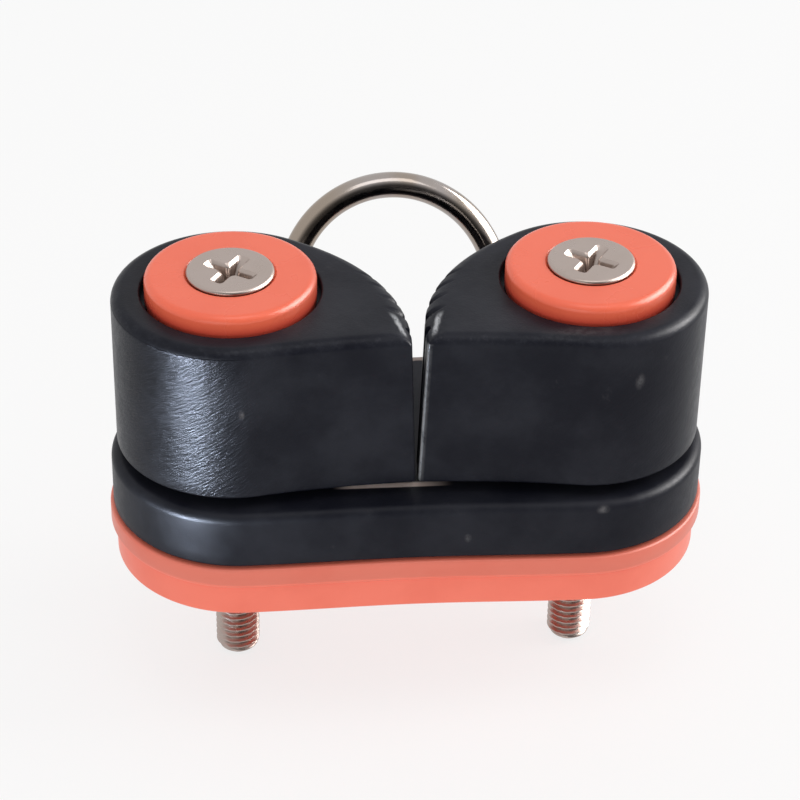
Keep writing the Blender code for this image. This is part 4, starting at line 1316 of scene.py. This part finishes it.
class CLEAT_OT_base_plate(Operator):
    """Mould the black base plate with its two hollow posts"""

    bl_idname = "cleat.base_plate"
    bl_label = "Base plate"

    def execute(self, context):
        sizes, colours = context.scene.cleat_sizes, context.scene.cleat_colours
        # Where light is painted on the floor: the lit strip's front, the painted shade behind it,
        # the rear highlight, the half width, the fade to the right, and the floor's level.
        floor_light = {"front": -9.5 * mm, "back": -8.5 * mm, "rear": 14.9 * mm, "half": 9.0 * mm,
                "right": 4.2 * mm, "level": sizes.base_top}
        finish = black_finish("base_moulded", colours, BASE_SCUFFS, False, 0.41, floor_light)
        finish_piece("base_moulding", base_mesh(sizes), "base", ["base_plate"],
                     finish)
        return {'FINISHED'}


class CLEAT_OT_cams(Operator):
    """Mould the two toothed cams with their stop lugs"""

    bl_idname = "cleat.cams"
    bl_label = "Cams"

    def execute(self, context):
        sizes, colours = context.scene.cleat_sizes, context.scene.cleat_colours
        finish = black_finish("cam_moulded", colours, CAM_SCUFFS, True, 0.36)
        for side, tag in SIDES:
            node = "cam_" + tag
            mesh = cam_mesh("cam_moulding_" + tag, sizes, side)
            finish_piece("cam_moulding_" + tag, mesh, node, [node], finish)
            finish_piece("stop_lug_" + tag, lug_mesh(sizes, side), node, [node],
                         finish)
        return {'FINISHED'}


class CLEAT_OT_caps(Operator):
    """Mould the two orange caps that hold the cams down"""

    bl_idname = "cleat.caps"
    bl_label = "Caps"

    def execute(self, context):
        sizes, colours = context.scene.cleat_sizes, context.scene.cleat_colours
        # The caps' lower rim is painted darker, as painted shade.
        finish = orange_finish("cap_moulded", colours.orange, colours.deep_orange, 0.45, 0.28,
                               colours.cap_foot_shade, sizes.cap_top - 1.0 * mm,
                               sizes.cap_top - 2.2 * mm)
        for side, tag in SIDES:
            name = "cap_moulding_" + tag
            finish_piece(name, cap_mesh(name, sizes, side), "base", ["cap_" + tag],
                         finish)
        return {'FINISHED'}


class CLEAT_OT_screws(Operator):
    """Cut the two countersunk screws with their threads and cross recesses"""

    bl_idname = "cleat.screws"
    bl_label = "Screws"

    def execute(self, context):
        sizes, colours = context.scene.cleat_sizes, context.scene.cleat_colours
        finish = steel_finish("screw_steel", colours.steel, colours.tarnish_and_reflection, 0.30, 0.10, False)
        for side, tag in SIDES:
            name = "countersunk_screw_" + tag
            finish_piece(name, screw_mesh(name, sizes, side), "base", ["screw_" + tag],
                         finish)
        return {'FINISHED'}


class CLEAT_OT_ring(Operator):
    """Bend the polished wire ring with its feet under the base"""

    bl_idname = "cleat.ring"
    bl_label = "Fairlead ring"

    def execute(self, context):
        sizes, colours = context.scene.cleat_sizes, context.scene.cleat_colours
        finish = steel_finish("ring_steel", colours.polished, colours.tarnish_and_reflection, 0.13, 0.45, True)
        finish_piece("fairlead_wire", ring_mesh(sizes), "base", ["fairlead_ring"],
                     finish)
        return {'FINISHED'}


class CLEAT_OT_springs(Operator):
    """Wind the two torsion springs, which twist between post and cam"""

    bl_idname = "cleat.springs"
    bl_label = "Springs"

    def execute(self, context):
        sizes, colours = context.scene.cleat_sizes, context.scene.cleat_colours
        finish = steel_finish("spring_steel", colours.wire, colours.tarnish_and_reflection, 0.28, 0.2, False)
        for side, tag in SIDES:
            name = "torsion_spring_" + tag
            piece = new_object(name, spring_mesh(name, sizes, side))
            piece.data.materials.append(finish)
            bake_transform(piece)
            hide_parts("spring_" + tag)
        return {'FINISHED'}


class CLEAT_OT_balls(Operator):
    """Turn the loose balls of all four rows"""

    bl_idname = "cleat.balls"
    bl_label = "Balls"

    def execute(self, context):
        sizes, colours = context.scene.cleat_sizes, context.scene.cleat_colours
        finish = ball_finish("ball_acetal_white", colours)
        for side, tag in SIDES:
            for row, height in (("lower", sizes.lower_row), ("upper", sizes.upper_row)):
                for k in range(sizes.balls_per_row):
                    turn = 2.0 * pi * k / sizes.balls_per_row
                    label = "%s_%s_%02d" % (tag, row, k + 1)
                    mesh = ball_mesh("race_" + label, sizes, side, turn, height)
                    finish_piece("race_" + label, mesh, "balls_" + tag, ["ball_" + label],
                                 finish)
        return {'FINISHED'}


# Camera: fitted to the photograph, in degrees, metres and pixels of the 800 pixel frame
VIEW_AZIMUTH = -5.35
VIEW_ELEVATION = 34.0
VIEW_ROLL = 1.1
VIEW_DISTANCE = 293.4 * mm
VIEW_TARGET = (-0.96 * mm, 0.0, 17.74 * mm)
FOCAL_PIXELS = 2710.0
FRAME_PIXELS = 800.0
SENSOR_WIDTH = 36.0


def towards(azimuth, elevation):
    """Unit vector towards a camera or lamp at two angles in degrees; azimuth 0 is in front."""
    a = radians(azimuth)
    e = radians(elevation)
    return Vector((sin(a) * cos(e), -cos(a) * cos(e), sin(e)))


def add_camera():
    """Camera at the photograph's viewing angle."""
    roll = radians(VIEW_ROLL)
    back = towards(VIEW_AZIMUTH, VIEW_ELEVATION)
    right = Vector((cos(radians(VIEW_AZIMUTH)), sin(radians(VIEW_AZIMUTH)), 0.0))
    up = back.cross(right)
    turned_right = right * cos(roll) + up * sin(roll)
    turned_up = up * cos(roll) - right * sin(roll)
    lens = bpy.data.cameras.new("camera")
    lens.sensor_width = SENSOR_WIDTH
    lens.lens = FOCAL_PIXELS / FRAME_PIXELS * SENSOR_WIDTH
    lens.clip_start = 0.01
    lens.clip_end = 20.0
    camera = bpy.data.objects.new("camera", lens)
    axes = Matrix((turned_right, turned_up, back)).transposed().to_4x4()
    place = Vector(VIEW_TARGET) + back * VIEW_DISTANCE
    camera.matrix_world = Matrix.Translation(place) @ axes
    bpy.context.scene.collection.objects.link(camera)
    bpy.context.scene.camera = camera


# World: strength for matt surfaces and of the room's front in reflections, and between which
# directions along the Y axis the room passes from its front to white
WORLD_SOFT = 0.70
ROOM_FRONT = 0.05
ROOM_SPAN = (-0.96, -0.35)

# Floor: its reach each way, how far it lies below the screws, and how white it is on its own
FLOOR_REACH = 3.0
FLOOR_DROP = 0.05 * mm
FLOOR_GLOW = 0.75

# Lamps: name, azimuth and elevation in degrees, distance, width, height, radiance, tint, and
# whether the lamp lights matt surfaces too or shows in glossy ones alone
LAMPS = (
    ("window_right", 92.0, 32.0, 0.50, 0.16, 0.20, 5.6, (1.0, 0.98, 0.95), True),
    ("window_glint", 96.0, 27.0, 0.50, 0.56, 0.40, 8.5, (1.0, 0.98, 0.95), False),
    ("rim_glint", 93.0, 22.0, 0.50, 0.20, 0.22, 30.0, (1.0, 0.98, 0.96), False),
    ("soft_top", 10.0, 78.0, 0.50, 0.25, 0.25, 1.5, (1.0, 1.0, 1.0), True),
    ("low_fill", -24.0, 7.0, 0.50, 0.32, 0.20, 1.5, (1.0, 0.97, 0.95), True),
    ("low_card", -44.0, -13.0, 0.11, 0.030, 0.020, 1450.0, (0.68, 0.79, 1.0), False),
)

# Point that the lamps are aimed at, the one with another aim, the one with a narrow beam in
# degrees, and the lamps that light a few pieces alone
LAMP_AIM = (0.0, 0.0, 0.018)
LAMP_AIMS = {"low_card": (-0.022, -0.010, 0.018)}
LAMP_SPREADS = {"low_card": 26.0}
LAMP_PIECES = {
    "rim_glint": ("base_moulding", "cam_moulding_left", "cam_moulding_right"),
    "low_card": ("base_moulding", "cam_moulding_left", "cam_moulding_right",
                 "countersunk_screw_left", "countersunk_screw_right"),
}


def add_lamps():
    """Soft area lamps round the cleat, each aimed at it or at a point of its own.

    A lamp's power is its radiance times pi times its area, less what a narrow beam gathers
    in its middle. Some lamps light a few pieces alone.
    """
    for name, azimuth, elevation, distance, width, height, radiance, tint, matt in LAMPS:
        back = towards(azimuth, elevation)
        aim = Vector(LAMP_AIMS.get(name, LAMP_AIM))
        lamp = bpy.data.lights.new(name, 'AREA')
        lamp.shape = 'RECTANGLE'
        lamp.size = width
        lamp.size_y = height
        lamp.energy = radiance * pi * width * height
        if name in LAMP_SPREADS:
            half = 0.5 * radians(LAMP_SPREADS[name])
            lamp.spread = 2.0 * half
            lamp.energy *= (tan(half) - half) / tan(half)
        lamp.color = tint
        item = bpy.data.objects.new(name, lamp)
        item.location = aim + back * distance
        item.rotation_mode = 'QUATERNION'
        item.rotation_quaternion = back.to_track_quat('Z', 'Y')
        item.visible_camera = False
        item.visible_diffuse = matt
        bpy.context.scene.collection.objects.link(item)
        if name in LAMP_PIECES:
            lit = bpy.data.collections.new(name + "_pieces")
            for piece in LAMP_PIECES[name]:
                lit.objects.link(bpy.data.objects[piece])
            item.light_linking.receiver_collection = lit


def add_world():
    """White for the camera, plain soft light for matt surfaces, and a room for reflections.

    The room is white behind and above the cleat and falls off by a smooth step towards the
    front, where the viewer stands.
    """
    world = bpy.data.worlds.new("studio")
    bpy.context.scene.world = world
    world.use_nodes = True
    tree = world.node_tree
    paths = tree.nodes.new("ShaderNodeLightPath").outputs
    sharp = combined(tree, 'MAXIMUM', paths["Is Camera Ray"], paths["Is Glossy Ray"])
    sharp = combined(tree, 'MAXIMUM', sharp, paths["Is Transmission Ray"])
    split = tree.nodes.new("ShaderNodeSeparateXYZ")
    put(tree, split.inputs[0], tree.nodes.new("ShaderNodeTexCoord").outputs["Generated"])
    room = remapped(tree, split.outputs["Y"], *ROOM_SPAN, ROOM_FRONT, 1.0)
    view = combined(tree, 'MAXIMUM', room, paths["Is Camera Ray"])
    background = tree.nodes["Background"]
    background.inputs["Color"].default_value = (1.0, 1.0, 1.0, 1.0)
    put(tree, background.inputs["Strength"], remapped(tree, sharp, 0.0, 1.0, WORLD_SOFT, view))


def add_floor(colours):
    """Plain pale floor at the screws' lower ends: mostly white to the camera, with a shadow."""
    outline = FLOOR_REACH * np.array([(-1.0, -1.0), (1.0, -1.0), (1.0, 1.0), (-1.0, 1.0)])
    ring = level_ring(outline, cad_low.z - FLOOR_DROP)
    mesh = bpy.data.meshes.new("floor")
    mesh.from_pydata(ring.tolist(), [], [(0, 1, 2, 3)])
    floor = new_object("floor", mesh)
    material = bpy.data.materials.new("floor")
    material.use_nodes = True
    tree = material.node_tree
    tree.nodes.clear()
    diffuse = tree.nodes.new("ShaderNodeBsdfDiffuse")
    put(tree, diffuse.inputs["Color"], colours.floor)
    glow = tree.nodes.new("ShaderNodeEmission")
    glow.inputs["Strength"].default_value = 1.0
    paths = tree.nodes.new("ShaderNodeLightPath").outputs
    seen = combined(tree, 'MAXIMUM', paths["Is Camera Ray"], paths["Is Glossy Ray"])
    mix = tree.nodes.new("ShaderNodeMixShader")
    values = (combined(tree, 'MULTIPLY', seen, FLOOR_GLOW), diffuse.outputs[0], glow.outputs[0])
    for socket, value in zip(mix.inputs, values):
        put(tree, socket, value)
    output = tree.nodes.new("ShaderNodeOutputMaterial")
    put(tree, output.inputs["Surface"], mix.outputs[0])
    floor.data.materials.append(material)


class CLEAT_OT_stage(Operator):
    """Set up the floor, the light and the camera"""

    bl_idname = "cleat.stage"
    bl_label = "Stage"

    def execute(self, context):
        context.scene.view_settings.view_transform = 'Standard'
        add_floor(context.scene.cleat_colours)
        add_world()
        add_lamps()
        add_camera()
        return {'FINISHED'}


OPERATORS = (
    CLEAT_OT_riser_pad,
    CLEAT_OT_base_plate,
    CLEAT_OT_cams,
    CLEAT_OT_caps,
    CLEAT_OT_screws,
    CLEAT_OT_ring,
    CLEAT_OT_springs,
    CLEAT_OT_balls,
    CLEAT_OT_stage,
)


class CLEAT_PT_sidebar(Panel):
    """Lists the pieces of the cleat in the sidebar"""

    bl_idname = "CLEAT_PT_sidebar"
    bl_label = "Cam Cleat"
    bl_space_type = 'VIEW_3D'
    bl_region_type = 'UI'
    bl_category = "Cam Cleat"

    def draw(self, context):
        column = self.layout.column(align=True)
        for operator in OPERATORS:
            column.operator(operator.bl_idname)
        for group in (context.scene.cleat_sizes, context.scene.cleat_colours):
            box = self.layout.box()
            for name in group.__annotations__:
                box.prop(group, name)


CLASSES = (CleatSizes, CleatColours, *OPERATORS, CLEAT_PT_sidebar)


def register():
    for item in CLASSES:
        bpy.utils.register_class(item)
    bpy.types.Scene.cleat_sizes = PointerProperty(type=CleatSizes)
    bpy.types.Scene.cleat_colours = PointerProperty(type=CleatColours)


def unregister():
    del bpy.types.Scene.cleat_colours
    del bpy.types.Scene.cleat_sizes
    for item in reversed(CLASSES):
        bpy.utils.unregister_class(item)


def main():
    """Register the classes and build every piece in order."""
    register()
    for operator in OPERATORS:
        group, name = operator.bl_idname.split(".")
        getattr(getattr(bpy.ops, group), name)()
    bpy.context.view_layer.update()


if __name__ == "__main__":
    main()
